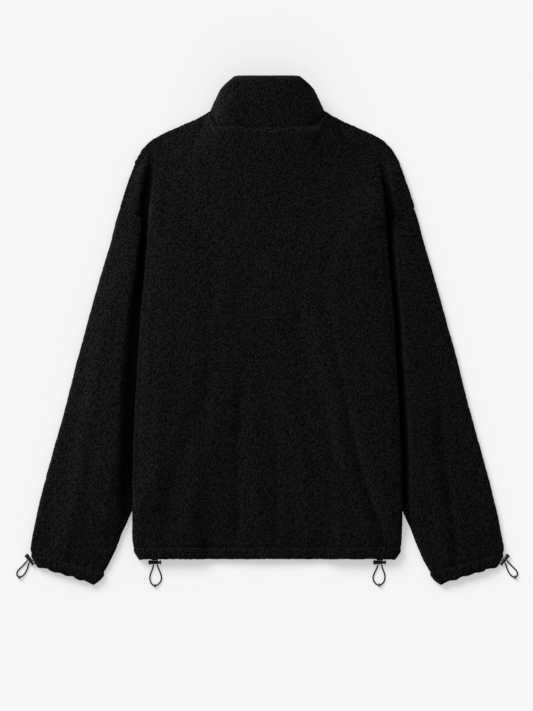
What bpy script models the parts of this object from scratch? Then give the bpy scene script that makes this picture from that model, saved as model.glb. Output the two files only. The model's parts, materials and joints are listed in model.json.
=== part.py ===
"""Zip-up sherpa fleece sweatshirt, laid flat with its back side up.

Sizes are in millimetres, taken the way a tailor lays a tape on the garment:
`across` is the distance from the centre line and `down` the distance below
the collar's top edge. `place` turns them into metres, with +X across to the
right, +Y towards the collar and +Z up from the surface below the garment.

The layers from the top are the back, the fronts, and at each side a strip of
both that is tucked under. The body's sides lie over the sleeves.
"""
import math

import bmesh
import bpy
from mathutils import Matrix, Vector

MM = 0.001
ORIGIN_DOWN = 406.155

# Cloth and its layers.
WALL = 3.0
PITCH = 3.6
SEAM = 0.4
SLEEVE_HEIGHT = 9.0
LAYER_GAP = 0.6

# Main lengths and widths.
HEM_DOWN = 771.0
CASING = 18.0
NECK_ACROSS = 91.0
NECK_SIDE_DOWN = 57.0
BACK_NECK_DOWN = 83.0
FRONT_NECK_DROP = 85.0
SHOULDER_ACROSS = 172.0
SHOULDER_BEND = (208.0, 134.0)
ARMHOLE_OUTER = (234.5, 209.0)
ARMHOLE_INNER = (66.0, 310.0)
ZIP_EDGE = 4.6

# Columns of (across, down): the back neck seam, then the shoulder seam.
BACK_NECK = ((0.0, 83.0), (40.0, 82.4), (66.0, 81.0), (80.0, 77.5), (91.0, 57.0))
SHOULDER = ((91.0, 57.0), (114.0, 70.0), (150.0, 85.6), (182.0, 101.6), (198.5, 117.6), (208.0, 134.0))

# Columns of (down, across).
SHOULDER_END = ((134.0, 208.0), (150.0, 214.4), (166.0, 220.0), (182.0, 225.6), (209.0, 234.5))
BODY_EDGE = (
    (96.0, 172.0), (142.0, 182.0), (165.0, 187.5), (230.0, 193.5), (310.0, 200.0), (390.0, 206.0),
    (470.0, 210.0), (550.0, 214.0), (630.0, 216.0), (742.0, 216.0), (760.0, 215.0), (771.0, 212.5),
)
SLEEVE_OUTER = (
    (209.0, 234.5), (230.0, 241.6), (262.0, 249.6), (326.0, 268.5), (390.0, 286.4), (454.0, 304.0),
    (518.0, 320.0), (582.0, 337.6), (646.0, 355.2), (694.0, 367.2), (726.0, 373.6), (750.0, 378.0),
    (763.0, 378.2), (773.0, 373.6), (783.0, 367.4),
)
SLEEVE_INNER = (
    (310.0, 66.0), (400.0, 98.0), (470.0, 124.0), (540.0, 152.5), (610.0, 181.0), (660.0, 202.0),
    (697.0, 217.0), (726.0, 230.5), (742.0, 236.5), (758.0, 243.2), (774.0, 250.4), (790.0, 258.4),
    (803.0, 266.0), (811.0, 276.0),
)
TUCK_SHARE = ((233.0, 0.22), (270.0, 0.62), (310.0, 0.9), (400.0, 1.0), (771.0, 1.0))

# Rows of the panels below the shoulders, and where the armhole seam meets the body's edge.
LEVEL_DOWN = 165.0
ARMHOLE_ROW_DOWN = 233.0
ROWS_ABOVE = 5
ROW_DOWNS = (
    LEVEL_DOWN, 186.0, 209.0, ARMHOLE_ROW_DOWN, 260.0, 292.0, 328.0, 368.0, 410.0, 452.0, 494.0,
    536.0, 578.0, 618.0, 654.0, 684.0, 708.0, 730.0, 747.0, 753.0, 758.0, 771.0,
)
PANEL_STOPS = (0.0, 14.0, 28.0, 42.0, 56.0, 68.0, 79.0, 86.0, 91.0, 104.0, 118.0, 132.0, 146.0, 160.0, 172.0)
TUCK_STOPS = PANEL_STOPS[:-6:-1]
WING_STEPS = 3
STRIP_GAP = 0.8

# Heights that the layers below give to the body.
BODY_FOLD_RADIUS = 1.5 * PITCH
LOFT = 2.0
ZIP_RIDGE = 2.6
NECK_HOLLOW = 29.0
NECK_SIDE_RISE = 13.0

# Long soft folds of the back: (down, across) down each crest, half width, height.
BACK_FOLDS = (
    ("centre_to_left_drag", ((330, -22), (494, -59), (646, -83), (745, -95)), 27, 3.2),
    ("left_chest_drag", ((330, -113), (470, -142), (580, -165)), 18, 2.0),
    ("centre_to_right_drag", ((330, 26), (494, 77), (620, 98), (742, 92)), 23, 3.0),
    ("low_centre_fold", ((520, 47), (640, 48), (745, 30)), 14, 2.0),
    ("right_side_drag", ((420, 109), (550, 125), (720, 157)), 16, 2.4),
)
# Soft folds of a sleeve: side, start and end as (share of length, share of width), half width, height.
SLEEVE_FOLDS = (
    (-1, (0.30, 0.17), (0.92, 0.42), 0.10, 2.2),
    (-1, (0.80, 0.16), (0.97, 0.20), 0.10, -1.2),
    (1, (0.25, 0.30), (0.70, 0.38), 0.12, 1.2),
    (1, (0.66, 0.46), (0.96, 0.56), 0.12, 2.0),
)
GATHER_PITCH = 34.0
GATHER_HEIGHT = 0.8
CASING_PROUD = 0.8
GROOVE_DEPTH = 0.5

# Collar.
COLLAR_TOP_ACROSS = 74.0
# Columns: across, down, along the collar's back top edge from the middle to the side.
COLLAR_BACK_TOP = (
    (0.0, 0.0), (45.0, 0.0), (51.7, 1.0), (54.2, 2.6), (58.0, 5.8), (63.7, 10.6), (68.7, 15.4), (74.0, 22.0),
)
COLLAR_SIDE_DOWN = 22.0
COLLAR_FRONT_DOWN = 59.0
COLLAR_TOP_MIDDLE = 25.0
COLLAR_TOP_HALF_DEPTH = 23.5
COLLAR_STEPS = 34
COLLAR_ROWS = 5
BINDING_SHARE = 0.065
COLLAR_INSET = 2.6
BINDING_GAP = 0.9

# Zip.
TAPE_WIDTH = 13.0
TAPE_THICKNESS = 0.8
TAPE_GAP = 0.3
ZIP_TOP_DOWN = 66.0
CHAIN_TOP_DOWN = 75.0
BOX_TOP_DOWN = 759.5
ZIP_FOOT_DOWN = 769.0
CHAIN_HALF = 2.9
CHAIN_THICKNESS = 1.6
BOX_HALF = 6.0
SLIDER_HALF = 4.0
SLIDER_TOP_DOWN = 68.5
SLIDER_FOOT_DOWN = 81.0
PLATE = 1.0
PULL_AXIS_DOWN = 74.5
PULL_AXIS_HEIGHT = 1.1
PULL_THICKNESS = 1.2
PULL_LENGTH = 26.0
EAR_INNER = 2.2
EAR_OUTER = 3.3
EAR_HALF_LENGTH = 1.3
TAB_NECK_HALF = 1.9
TAB_NECK_LENGTH = 7.5
TAB_BLADE_HALF = 3.3

# Cord locks: rows of (along the barrel, radius), from one end's middle to the other's.
HOUSING_OUTLINE = (
    (-10.3, 0.0), (-10.3, 2.2), (-9.5, 3.3), (-8.2, 3.7), (-6.9, 3.3), (-6.0, 3.1), (2.6, 3.1),
    (3.6, 3.5), (5.0, 3.5), (5.0, 2.5), (-3.9, 2.5), (-3.9, 0.0),
)
PLUNGER_OUTLINE = ((-0.5, 0.0), (-0.5, 2.1), (8.3, 2.1), (8.3, 3.2), (9.2, 3.7), (10.2, 2.9), (10.5, 0.0))
LOCK_HEIGHT = 3.85
LOCK_SIDES = 14
HEM_LOCK = (180.0, 777.9)
CUFF_LOCK = (380.2, 773.6)
CUFF_LOCK_AXIS = (-0.6, 0.8)
TAB_HALF = 5.6
TAB_THICKNESS = 3.0
CORD_RADIUS = 1.2
CORD_SPACING = 5.4
CRIMP_LENGTH = 2.8
CRIMP_INNER = 2.0
CRIMP_OUTER = 2.7

# Cord routes from each lock: (across, down, height) steps from the barrel's middle.
HEM_LOOP_LEFT = (
    (-1.9, 4.0, 3.2), (-3.2, 8.8, 2.0), (-5.0, 13.6, 1.35), (-7.0, 19.0, 1.25), (-7.9, 24.5, 1.25),
    (-7.2, 30.0, 1.4), (-4.4, 35.0, 2.2), (0.0, 37.4, 2.8), (4.8, 35.6, 2.2), (8.8, 31.4, 1.4),
    (10.6, 26.0, 1.25), (9.9, 20.0, 1.25), (7.8, 14.0, 1.35), (5.6, 9.0, 2.0), (4.2, 4.0, 3.2),
)
HEM_LOOP_RIGHT = (
    (-2.6, 4.0, 3.2), (-4.3, 9.0, 2.0), (-6.9, 14.4, 1.35), (-9.4, 19.8, 1.25), (-10.4, 25.4, 1.25),
    (-8.7, 31.0, 1.4), (-5.0, 34.9, 2.2), (-0.4, 36.4, 2.8), (4.0, 34.4, 2.2), (7.3, 29.9, 1.4),
    (8.6, 24.2, 1.25), (7.8, 18.2, 1.25), (5.9, 12.8, 1.35), (4.3, 8.4, 2.0), (3.2, 4.0, 3.2),
)
CUFF_LOOP = (
    (3.9, 1.4, 3.2), (7.9, 6.1, 1.9), (12.6, 11.2, 1.3), (17.4, 15.8, 1.25), (20.4, 20.4, 1.5),
    (20.2, 25.2, 2.2), (16.6, 28.0, 2.9), (11.9, 26.4, 2.2), (7.9, 22.2, 1.4), (5.0, 16.6, 1.25),
    (2.9, 10.9, 1.8), (1.35, 5.5, 3.2),
)

# Finishes: colour, roughness, metallic.
FLEECE = ((0.012, 0.012, 0.014), 0.95, 0.0)
BINDING = ((0.010, 0.010, 0.011), 0.70, 0.0)
WEBBING = ((0.013, 0.013, 0.014), 0.80, 0.0)
BLACK_METAL = ((0.030, 0.030, 0.032), 0.35, 0.9)
BLACK_PLASTIC = ((0.015, 0.015, 0.016), 0.30, 0.0)
CORD = ((0.012, 0.012, 0.013), 0.65, 0.0)


def place(across, down, height):
    """World position in metres of a point given by the tape, in millimetres."""
    return Vector((across * MM, (ORIGIN_DOWN - down) * MM, height * MM))


def ramp(value, start, end):
    """Smooth step from 0 at start to 1 at end."""
    share = min(1.0, max(0.0, (value - start) / (end - start)))
    return share * share * (3.0 - 2.0 * share)


def mix(low, high, share):
    """Value at a share of the way from low to high."""
    return low + (high - low) * share


def read(table, at):
    """Second column of a table at a value of its first column, on a smooth curve."""
    if at <= table[0][0]:
        return table[0][1]
    if at >= table[-1][0]:
        return table[-1][1]
    row = max(i for i in range(len(table) - 1) if table[i][0] <= at)
    (x0, y0), (x1, y1) = table[row], table[row + 1]
    before = table[max(row - 1, 0)]
    after = table[min(row + 2, len(table) - 1)]
    span = x1 - x0
    share = (at - x0) / span
    slope0 = (y1 - before[1]) / (x1 - before[0])
    slope1 = (after[1] - y0) / (after[0] - x0)
    cubic = 2.0 * share ** 3 - 3.0 * share ** 2 + 1.0
    lean0 = share ** 3 - 2.0 * share ** 2 + share
    lean1 = share ** 3 - share ** 2
    return cubic * y0 + (1.0 - cubic) * y1 + span * (lean0 * slope0 + lean1 * slope1)


# ---------------------------------------------------------------- cloth heights


def armhole_down(across):
    """Row of the armhole seam at a distance from the centre line."""
    share = (ARMHOLE_OUTER[0] - across) / (ARMHOLE_OUTER[0] - ARMHOLE_INNER[0])
    return mix(ARMHOLE_OUTER[1], ARMHOLE_INNER[1], share)


def sleeve_rise(across, down):
    """Lift of the body over the sleeve that lies under it."""
    side = abs(across)
    past_armhole = ramp(down - armhole_down(side), -66.0, -16.0)
    past_inner_edge = ramp(side - read(SLEEVE_INNER, down), -50.0, -8.0)
    before_hem = 1.0 - ramp(down, 696.0, 760.0)
    return (SLEEVE_HEIGHT + LAYER_GAP) * past_armhole * past_inner_edge * before_hem


def fold_across(down):
    """Where the body's top layer starts to turn under."""
    return read(BODY_EDGE, down) - WALL / 2.0 - BODY_FOLD_RADIUS


def tuck_place(stop, down):
    """Distance from the centre line of a column of the strip that is tucked under."""
    inward = (SHOULDER_ACROSS - stop) / SHOULDER_ACROSS
    return fold_across(down) * (1.0 - inward * read(TUCK_SHARE, down))


def strip_rise(across, down):
    """Lift of the body over its own side strips, which are tucked under."""
    inner_end = tuck_place(TUCK_STOPS[-1], down)
    from_armhole = ramp(down, 140.0, ARMHOLE_ROW_DOWN)
    return 2.0 * PITCH * from_armhole * ramp(abs(across) - inner_end, -48.0, -18.0)


def front_height(across, down):
    """Middle of the fronts' wall above the surface."""
    beside_neck = math.exp(-((abs(across) - NECK_ACROSS) / 45.0) ** 2 - ((down - NECK_SIDE_DOWN) / 50.0) ** 2)
    clear_of_zip = ramp(abs(across), 18.0, 60.0)
    rise = sleeve_rise(across, down) + strip_rise(across, down)
    return WALL / 2.0 + rise + NECK_SIDE_RISE * beside_neck * clear_of_zip


def back_folds(across, down):
    """Height that the long soft folds add to the back."""
    total = 0.0
    for _name, crest, half_width, height in BACK_FOLDS:
        along = ramp(down, crest[0][0] - 50.0, crest[0][0] + 60.0) * (1.0 - ramp(down, crest[-1][0] - 60.0, 768.0))
        total += height * along * math.exp(-((across - read(crest, down)) / half_width) ** 2)
    return total


def back_height(across, down):
    """Middle of the back's wall above the surface."""
    side = abs(across)
    below_seam = ramp(down - read(SHOULDER, side), 0.0, 60.0)
    inside_edge = ramp(read(BODY_EDGE, down) - side, 6.0, 56.0)
    before_hem = 1.0 - 0.8 * ramp(down, 700.0, 765.0)
    loft = (LOFT + back_folds(across, down)) * below_seam * inside_edge * before_hem
    ridge = ZIP_RIDGE * math.exp(-(across / 42.0) ** 2)
    hollow_width = NECK_ACROSS + 0.5 * max(0.0, down - NECK_SIDE_DOWN)
    hollow = max(0.0, 1.0 - (side / hollow_width) ** 3)
    fade = math.exp(-(max(0.0, down - BACK_NECK_DOWN) / 62.0) ** 2)
    return front_height(across, down) + PITCH + loft + max(ridge, NECK_HOLLOW * hollow * fade)


# ---------------------------------------------------------------- walls of cloth


class Sheet:
    """A piece of cloth as the middle surface of its wall, with extra height on its outer side."""

    def __init__(self):
        self.points = []
        self.raised = []
        self.faces = []

    def point(self, across, down, height, raised=0.0):
        """Add a point of the middle surface and return its number."""
        self.points.append(place(across, down, height))
        self.raised.append(raised * MM)
        return len(self.points) - 1

    def grid(self, rows, flip=False):
        """Join rows of point numbers, which run down the garment, into triangles.

        Each cell's diagonal runs down and outwards, so that the layers fit on each other.
        """
        for upper, lower in zip(rows, rows[1:]):
            for left in range(len(upper) - 1):
                a, b, c, d = upper[left], lower[left], lower[left + 1], upper[left + 1]
                if abs(self.points[a].x) <= abs(self.points[d].x):
                    pair = ((a, b, c), (a, c, d))
                else:
                    pair = ((a, b, d), (b, c, d))
                self.faces += [face[::-1] if flip else face for face in pair]

    def normals(self):
        """Outer direction at each point, lengthened so that the wall keeps its thickness at bends."""
        around = [[] for _ in self.points]
        for face in self.faces:
            first, second, third = (self.points[i] for i in face)
            normal = (second - first).cross(third - first)
            for i in face:
                around[i].append(normal)
        result = []
        for normals in around:
            mean = sum(normals, Vector()).normalized()
            least = sum(mean.dot(n.normalized()) for n in normals) / len(normals)
            result.append(mean / max(least, 0.72))
        return result

    def wall(self, thickness=WALL, first=0, last=None):
        """Mesh data of the closed wall over a run of the points: its points and faces."""
        run = slice(first, last)
        count = len(self.points[run])
        half = thickness * MM / 2.0
        data = list(zip(self.points, self.normals(), self.raised))[run]
        outer = [p + n * (half + up) for p, n, up in data]
        inner = [p - n * half for p, n, _up in data]
        kept = [f for f in self.faces if min(f) >= first and max(f) < first + count]
        top = [[i - first for i in f] for f in kept]
        faces = top + [[i + count for i in reversed(f)] for f in top]
        edges = {(f[i - 1], f[i]) for f in top for i in range(3)}
        rim = sorted(e for e in edges if (e[1], e[0]) not in edges)
        for a, b in rim:
            across = (a, b + count) if a > b else (b, a + count)
            faces += [[b, a, across[1]], [across[0], a + count, b + count]]
        points = outer + inner
        for point in points:
            point.z = max(point.z, 0.0)
        return points, faces


def finish_material(name, finish):
    """A plain material with a colour, a roughness and a metallic value."""
    material = bpy.data.materials.new(name)
    material.use_nodes = True
    shader = material.node_tree.nodes["Principled BSDF"]
    shader.inputs["Base Color"].default_value = (*finish[0], 1.0)
    shader.inputs["Roughness"].default_value = finish[1]
    shader.inputs["Metallic"].default_value = finish[2]
    return material


def add_object(name, points, faces, finish, sharp_angle=math.radians(40.0)):
    """A named object from points in metres, with smooth shading where it is round."""
    mesh = bpy.data.meshes.new(name)
    mesh.from_pydata([tuple(p) for p in points], [], faces)
    mesh.update()
    mesh.shade_smooth()
    mesh.set_sharp_from_angle(angle=sharp_angle)
    mesh.materials.append(finish_material(name, finish))
    thing = bpy.data.objects.new(name, mesh)
    bpy.context.collection.objects.link(thing)
    return thing


def solid(name, build, finish):
    """A named object whose mesh a bmesh function builds, with its faces turned outwards."""
    shape = bmesh.new()
    build(shape)
    bmesh.ops.recalc_face_normals(shape, faces=shape.faces)
    points = [v.co.copy() for v in shape.verts]
    shape.verts.index_update()
    faces = [[v.index for v in f.verts] for f in shape.faces]
    shape.free()
    return add_object(name, points, faces, finish)


# ---------------------------------------------------------------- back and fronts


def row_count():
    """Number of rows of a body panel."""
    return ROWS_ABOVE + len(ROW_DOWNS)


def front_neck(across):
    """Row of the fronts' neck seam."""
    share = min(1.0, abs(across) / NECK_ACROSS)
    return NECK_SIDE_DOWN + FRONT_NECK_DROP * math.sqrt(1.0 - share ** 2.2)


def back_neck(across):
    """Row of the back's neck seam."""
    return read(BACK_NECK, abs(across))


def top_edge(across, neck):
    """Row of a panel's upper edge: the neck seam, then the shoulder seam."""
    side = abs(across)
    return neck(side) if side < NECK_ACROSS else read(SHOULDER, side)


def panel_place(stop, beyond, row, neck):
    """Across and down of a panel's point: its column, what it lies beyond the last one, its row."""
    share = stop / SHOULDER_ACROSS
    if row >= ROWS_ABOVE:
        down = ROW_DOWNS[row - ROWS_ABOVE]
        return share * fold_across(down) + beyond, down
    step = row / ROWS_ABOVE
    upper = stop + beyond
    lower = share * fold_across(LEVEL_DOWN) + beyond
    return mix(upper, lower, step), mix(top_edge(upper, neck), LEVEL_DOWN, step)


def casing_relief(across, down):
    """Height of the casing, its seam's groove and its gathers on the outer side."""
    seam = HEM_DOWN - CASING
    casing = ramp(down, seam, seam + 6.0)
    groove = math.exp(-((down - seam) / 2.5) ** 2)
    gather = 0.5 + 0.5 * math.cos(2.0 * math.pi * across / GATHER_PITCH + 0.9 * math.sin(across / 31.0))
    return casing * (CASING_PROUD + GATHER_HEIGHT * gather) - GROOVE_DEPTH * groove


def under_height(across, down):
    """Middle of the lowest layer at the body's sides."""
    beside_wing = ramp(down, ARMHOLE_ROW_DOWN - 30.0, ARMHOLE_ROW_DOWN - 10.0)
    return WALL / 2.0 + sleeve_rise(across, down) * beside_wing


def side_strip(sheet, side, layer, edge_points):
    """Turn a body panel under at one side, below the armhole.

    layer is 0 for the back and 1 for a front, which lies inside it.
    edge_points holds each row's point at the fold's outermost place.
    """
    first = ROWS_ABOVE + ROW_DOWNS.index(ARMHOLE_ROW_DOWN)
    rows = []
    for row in range(first, row_count()):
        down = ROW_DOWNS[row - ROWS_ABOVE]
        bend = fold_across(down)
        height = (back_height if layer == 0 else front_height)(side * bend, down)
        low = under_height(bend, down) + layer * PITCH
        radius = (height - low) / 2.0
        reach = BODY_FOLD_RADIUS - layer * PITCH
        diagonal = math.sqrt(0.5)
        line = [edge_points[row]]
        line.append(sheet.point(side * (bend + reach * diagonal), down, low + radius * (1.0 - diagonal)))
        start = down + (STRIP_GAP if row == first else 0.0)
        for stop in TUCK_STOPS:
            across = tuck_place(stop, down)
            line.append(sheet.point(side * across, start, under_height(across, down) + layer * PITCH))
        rows.append(line)
    sheet.grid(rows, flip=side < 0)


def wing(sheet, side, layer, edge_points, edge_heights, neck):
    """The drop shoulder beside the body's edge, down to the armhole seam."""
    last = ROWS_ABOVE + ROW_DOWNS.index(ARMHOLE_ROW_DOWN)
    reach = BODY_FOLD_RADIUS - layer * PITCH
    outer_height = WALL / 2.0 + (0.0 if layer else PITCH)
    inner_height = WALL / 2.0 if layer else SLEEVE_HEIGHT - WALL / 2.0
    rows = []
    for row in range(last + 1):
        inner_across, inner_down = panel_place(SHOULDER_ACROSS, reach + 2.2, row, neck)
        outer_down = mix(SHOULDER_BEND[1], ARMHOLE_OUTER[1], row / last)
        outer_across = read(SHOULDER_END, outer_down)
        stepped = ramp(inner_down, 140.0, ARMHOLE_ROW_DOWN)
        start_height = mix(edge_heights[row], inner_height, stepped)
        line = [edge_points[row]]
        for step in range(WING_STEPS + 1):
            share = step / WING_STEPS
            across = mix(inner_across, outer_across, share)
            down = read(SHOULDER, across) if row == 0 else mix(inner_down, outer_down, share)
            if row == last:
                down -= STRIP_GAP * (1.0 - share)
            height = mix(start_height, outer_height, ramp(share, 0.0, 1.0))
            line.append(sheet.point(side * across, down, height))
        rows.append(line)
    sheet.grid(rows, flip=side < 0)


def body_side(sheet, side, layer, columns, neck):
    """Finish a body panel at one side: its fold edge, tucked strip and drop shoulder."""
    surface = back_height if layer == 0 else front_height
    reach = BODY_FOLD_RADIUS - layer * PITCH
    diagonal = math.sqrt(0.5)
    rows = []
    heights = []
    for row in range(row_count()):
        down = panel_place(SHOULDER_ACROSS, 0.0, row, neck)[1]
        height = surface(side * fold_across(down), down) if row >= ROWS_ABOVE else None
        line = [columns[row]]
        for share, drop in ((diagonal, 1.0 - diagonal), (1.0, 1.0)):
            across, down = panel_place(SHOULDER_ACROSS, reach * share, row, neck)
            top = surface(side * across, down) if height is None else height
            low = under_height(across, down) + layer * PITCH
            stepped = ramp(down, 140.0, ARMHOLE_ROW_DOWN)
            level = top - stepped * drop * max(0.0, top - low) / 2.0
            line.append(sheet.point(side * across, down, level))
        heights.append(level if height is None else height)
        rows.append(line)
    sheet.grid(rows, flip=side < 0)
    edge_points = [line[-1] for line in rows]
    side_strip(sheet, side, layer, edge_points)
    wing(sheet, side, layer, edge_points, heights, neck)


def make_back():
    """The back panel, from side strip to side strip."""
    sheet = Sheet()
    stops = [-s for s in reversed(PANEL_STOPS[1:])] + list(PANEL_STOPS)
    rows = []
    for row in range(row_count()):
        line = []
        for stop in stops:
            across, down = panel_place(stop, 0.0, row, back_neck)
            line.append(sheet.point(across, down, back_height(across, down), casing_relief(across, down)))
        rows.append(line)
    sheet.grid(rows)
    for side, column in ((-1, 0), (1, -1)):
        body_side(sheet, side, 0, [line[column] for line in rows], back_neck)
    return add_object("back", *sheet.wall(), FLEECE)


def make_front(side):
    """One front, from the zip to its side strip. Its outer side faces the surface below."""
    sheet = Sheet()
    rows = []
    for row in range(row_count()):
        line = []
        for stop in PANEL_STOPS:
            across, down = panel_place(stop, 0.0, row, front_neck)
            if stop == 0:
                across = ZIP_EDGE
            line.append(sheet.point(side * across, down, front_height(across, down)))
        rows.append(line)
    sheet.grid(rows, flip=side < 0)
    body_side(sheet, side, 1, [line[-1] for line in rows], front_neck)
    name = "front_left" if side < 0 else "front_right"
    return add_object(name, *sheet.wall(), FLEECE)


# ---------------------------------------------------------------- sleeves

SLEEVE_STATIONS = (
    0.0, 0.05, 0.11, 0.18, 0.25, 0.32, 0.39, 0.46, 0.53, 0.60, 0.67, 0.74, 0.80, 0.86, 0.91, 0.945,
    0.962, 0.970, 0.985, 1.0,
)
SLEEVE_TOP_SHARES = (0.12, 0.24, 0.36, 0.5, 0.64, 0.8)
SLEEVE_UNDER_SHARES = (0.75, 0.5, 0.25)
SLEEVE_ARC = (-90.0, -45.0, 0.0, 45.0, 90.0)


def sleeve_folds(side, along, share):
    """Height that a sleeve's soft folds add to its upper layer."""
    total = 0.0
    for fold_side, start, end, half_width, height in SLEEVE_FOLDS:
        if fold_side == side:
            progress = (along - start[0]) / (end[0] - start[0])
            crest = mix(start[1], end[1], min(1.0, max(0.0, progress)))
            fade = ramp(progress, -0.15, 0.25) * (1.0 - ramp(progress, 0.8, 1.1))
            total += height * fade * math.exp(-((share - crest) / half_width) ** 2)
    return total


def sleeve_ring(sheet, side, along):
    """One closed section of a sleeve: over its upper layer inwards, and back below."""
    outer_down = mix(ARMHOLE_OUTER[1] + SEAM, SLEEVE_OUTER[-1][0], along)
    inner_down = mix(ARMHOLE_INNER[1] + SEAM, SLEEVE_INNER[-1][0], along)
    outer = Vector((read(SLEEVE_OUTER, outer_down), outer_down))
    inner = Vector((read(SLEEVE_INNER, inner_down), inner_down))
    width = (inner - outer).length
    inward = (inner - outer) / width
    radius = (SLEEVE_HEIGHT - WALL) / 2.0
    middle = SLEEVE_HEIGHT / 2.0
    bend = radius + WALL / 2.0
    lengthwise = Vector((-inward.y, inward.x)) * (1.0 if inward.x < 0.0 else -1.0)
    casing = ramp(along, 0.966, 0.974)
    groove = math.exp(-((along - 0.964) / 0.006) ** 2)

    def at(distance, height, relief=0.0):
        """A point of the section, with the casing's relief where the cloth shows."""
        share = distance / width
        wave = 1.4 * casing * ramp(along, 0.985, 1.0) * math.sin(9.0 * math.pi * share)
        spot = outer + inward * distance - lengthwise * wave
        gather = 0.5 + 0.5 * math.cos(7.0 * math.pi * share)
        extra = relief * (casing * (CASING_PROUD + GATHER_HEIGHT * gather) - GROOVE_DEPTH * groove)
        return sheet.point(side * spot.x, spot.y, height, extra)

    line = []
    for angle in SLEEVE_ARC:
        turn = math.radians(angle)
        line.append(at(bend - radius * math.cos(turn), middle + radius * math.sin(turn)))
    for share in SLEEVE_TOP_SHARES:
        rise = sleeve_folds(side, along, share)
        line.append(at(mix(bend, width - bend, share), middle + radius + rise, 1.0))
    for angle in SLEEVE_ARC:
        turn = math.radians(-angle)
        line.append(at(width - bend + radius * math.cos(turn), middle + radius * math.sin(turn)))
    for share in SLEEVE_UNDER_SHARES:
        line.append(at(mix(bend, width - bend, share), middle - radius))
    return line + [line[0]]


def make_sleeve(side):
    """One sleeve, a flattened tube from the armhole seam to the cuff."""
    sheet = Sheet()
    rows = [sleeve_ring(sheet, side, along) for along in SLEEVE_STATIONS]
    sheet.grid(rows, flip=side > 0)
    name = "sleeve_left" if side < 0 else "sleeve_right"
    return add_object(name, *sheet.wall(), FLEECE)


# ---------------------------------------------------------------- collar


def collar_foot(turn):
    """Foot of the collar at an angle from the back's middle: it follows the neck seam."""
    across = NECK_ACROSS * math.sin(turn)
    inset = (NECK_ACROSS - COLLAR_INSET) / NECK_ACROSS
    if math.cos(turn) >= 0.0:
        down, height = back_neck(across), back_height(across, back_neck(across))
    else:
        down, height = front_neck(across), front_height(across, front_neck(across))
    middle = (back_height(across, NECK_SIDE_DOWN) + front_height(across, NECK_SIDE_DOWN)) / 2.0
    height = mix(middle, height, ramp(abs(math.cos(turn)), 0.0, 0.35))
    return Vector((across * inset, down - 2.0 * SEAM, height))


def collar_head(turn):
    """Top edge of the collar at an angle from the back's middle."""
    sine = math.sin(turn)
    across = COLLAR_TOP_ACROSS * math.copysign(abs(sine) ** 0.86, sine)
    share = min(1.0, abs(across) / COLLAR_TOP_ACROSS)
    if math.cos(turn) >= 0.0:
        down = read(COLLAR_BACK_TOP, abs(across))
    else:
        down = mix(COLLAR_SIDE_DOWN, COLLAR_FRONT_DOWN, math.sqrt(1.0 - share ** 3))
    height = COLLAR_TOP_MIDDLE + COLLAR_TOP_HALF_DEPTH * math.cos(turn)
    if math.cos(turn) < 0.0:
        height = mix(WALL / 2.0, height, ramp(abs(across), 17.0, 45.0))
    return Vector((across, down, height))


def collar_sheet():
    """The collar and its binding as one sheet: the binding's two rows, then the collar's."""
    sheet = Sheet()
    end = math.pi - math.asin((ZIP_EDGE + 0.2) / NECK_ACROSS)
    seam = 1.0 - BINDING_SHARE
    rows = []
    for row in range(-2, COLLAR_ROWS + 1):
        line = []
        for step in range(COLLAR_STEPS + 1):
            turn = mix(-end, end, step / COLLAR_STEPS)
            foot, head = collar_foot(turn), collar_head(turn)
            gap = BINDING_GAP / (head - foot).length
            share = {-2: 1.0, -1: seam + gap}.get(row, seam * (1.0 - row / COLLAR_ROWS))
            spot = foot.lerp(head, share)
            bulge = 4.0 * math.sin(math.pi * share) * ramp(math.cos(turn), -0.2, 0.9)
            across = spot.x
            if step in (0, COLLAR_STEPS):
                across = math.copysign(ZIP_EDGE, turn)
            line.append(sheet.point(across, spot.y, max(WALL / 2.0, spot.z + bulge)))
        rows.append(line)
    sheet.grid(rows)
    return sheet, rows[1][-1] + 1


def make_collar():
    """The stand collar: one strip of fleece round the neck, open at the zip."""
    sheet, first = collar_sheet()
    return add_object("collar", *sheet.wall(first=first), FLEECE)


def make_binding():
    """The smooth binding round the collar's top edge."""
    sheet, last = collar_sheet()
    return add_object("collar_binding", *sheet.wall(last=last), BINDING)


# ---------------------------------------------------------------- zip


def add_box(shape, low, high):
    """A box in a bmesh, between two corners given as (across, down, height)."""
    corners = [place(x, d, z) for x in (low[0], high[0]) for d in (low[1], high[1]) for z in (low[2], high[2])]
    v = [shape.verts.new(c) for c in corners]
    for a, b, c, d in ((0, 1, 3, 2), (4, 6, 7, 5), (0, 4, 5, 1), (2, 3, 7, 6), (0, 2, 6, 4), (1, 5, 7, 3)):
        shape.faces.new((v[a], v[b], v[c], v[d]))


def extruded(shape, outline, low, high):
    """A flat outline of (across, down) rows, given thickness between two heights."""
    base = shape.faces.new([shape.verts.new(place(x, d, low)) for x, d in outline])
    sides = bmesh.ops.extrude_face_region(shape, geom=[base])["geom"]
    moved = [v for v in sides if isinstance(v, bmesh.types.BMVert)]
    bmesh.ops.translate(shape, verts=moved, vec=Vector((0.0, 0.0, (high - low) * MM)))


def make_tape(side):
    """One zip tape, on the inner side of its front's edge."""
    inner, outer = CHAIN_HALF + TAPE_GAP, CHAIN_HALF + TAPE_GAP + TAPE_WIDTH
    low = WALL + TAPE_GAP
    across = sorted((side * inner, side * outer))
    name = "zip_tape_left" if side < 0 else "zip_tape_right"
    foot = BOX_TOP_DOWN - TAPE_GAP

    def build(shape):
        """The tape's box, from the collar's binding to the retainer box."""
        add_box(shape, (across[0], ZIP_TOP_DOWN, low), (across[1], foot, low + TAPE_THICKNESS))

    return solid(name, build, WEBBING)


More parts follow.
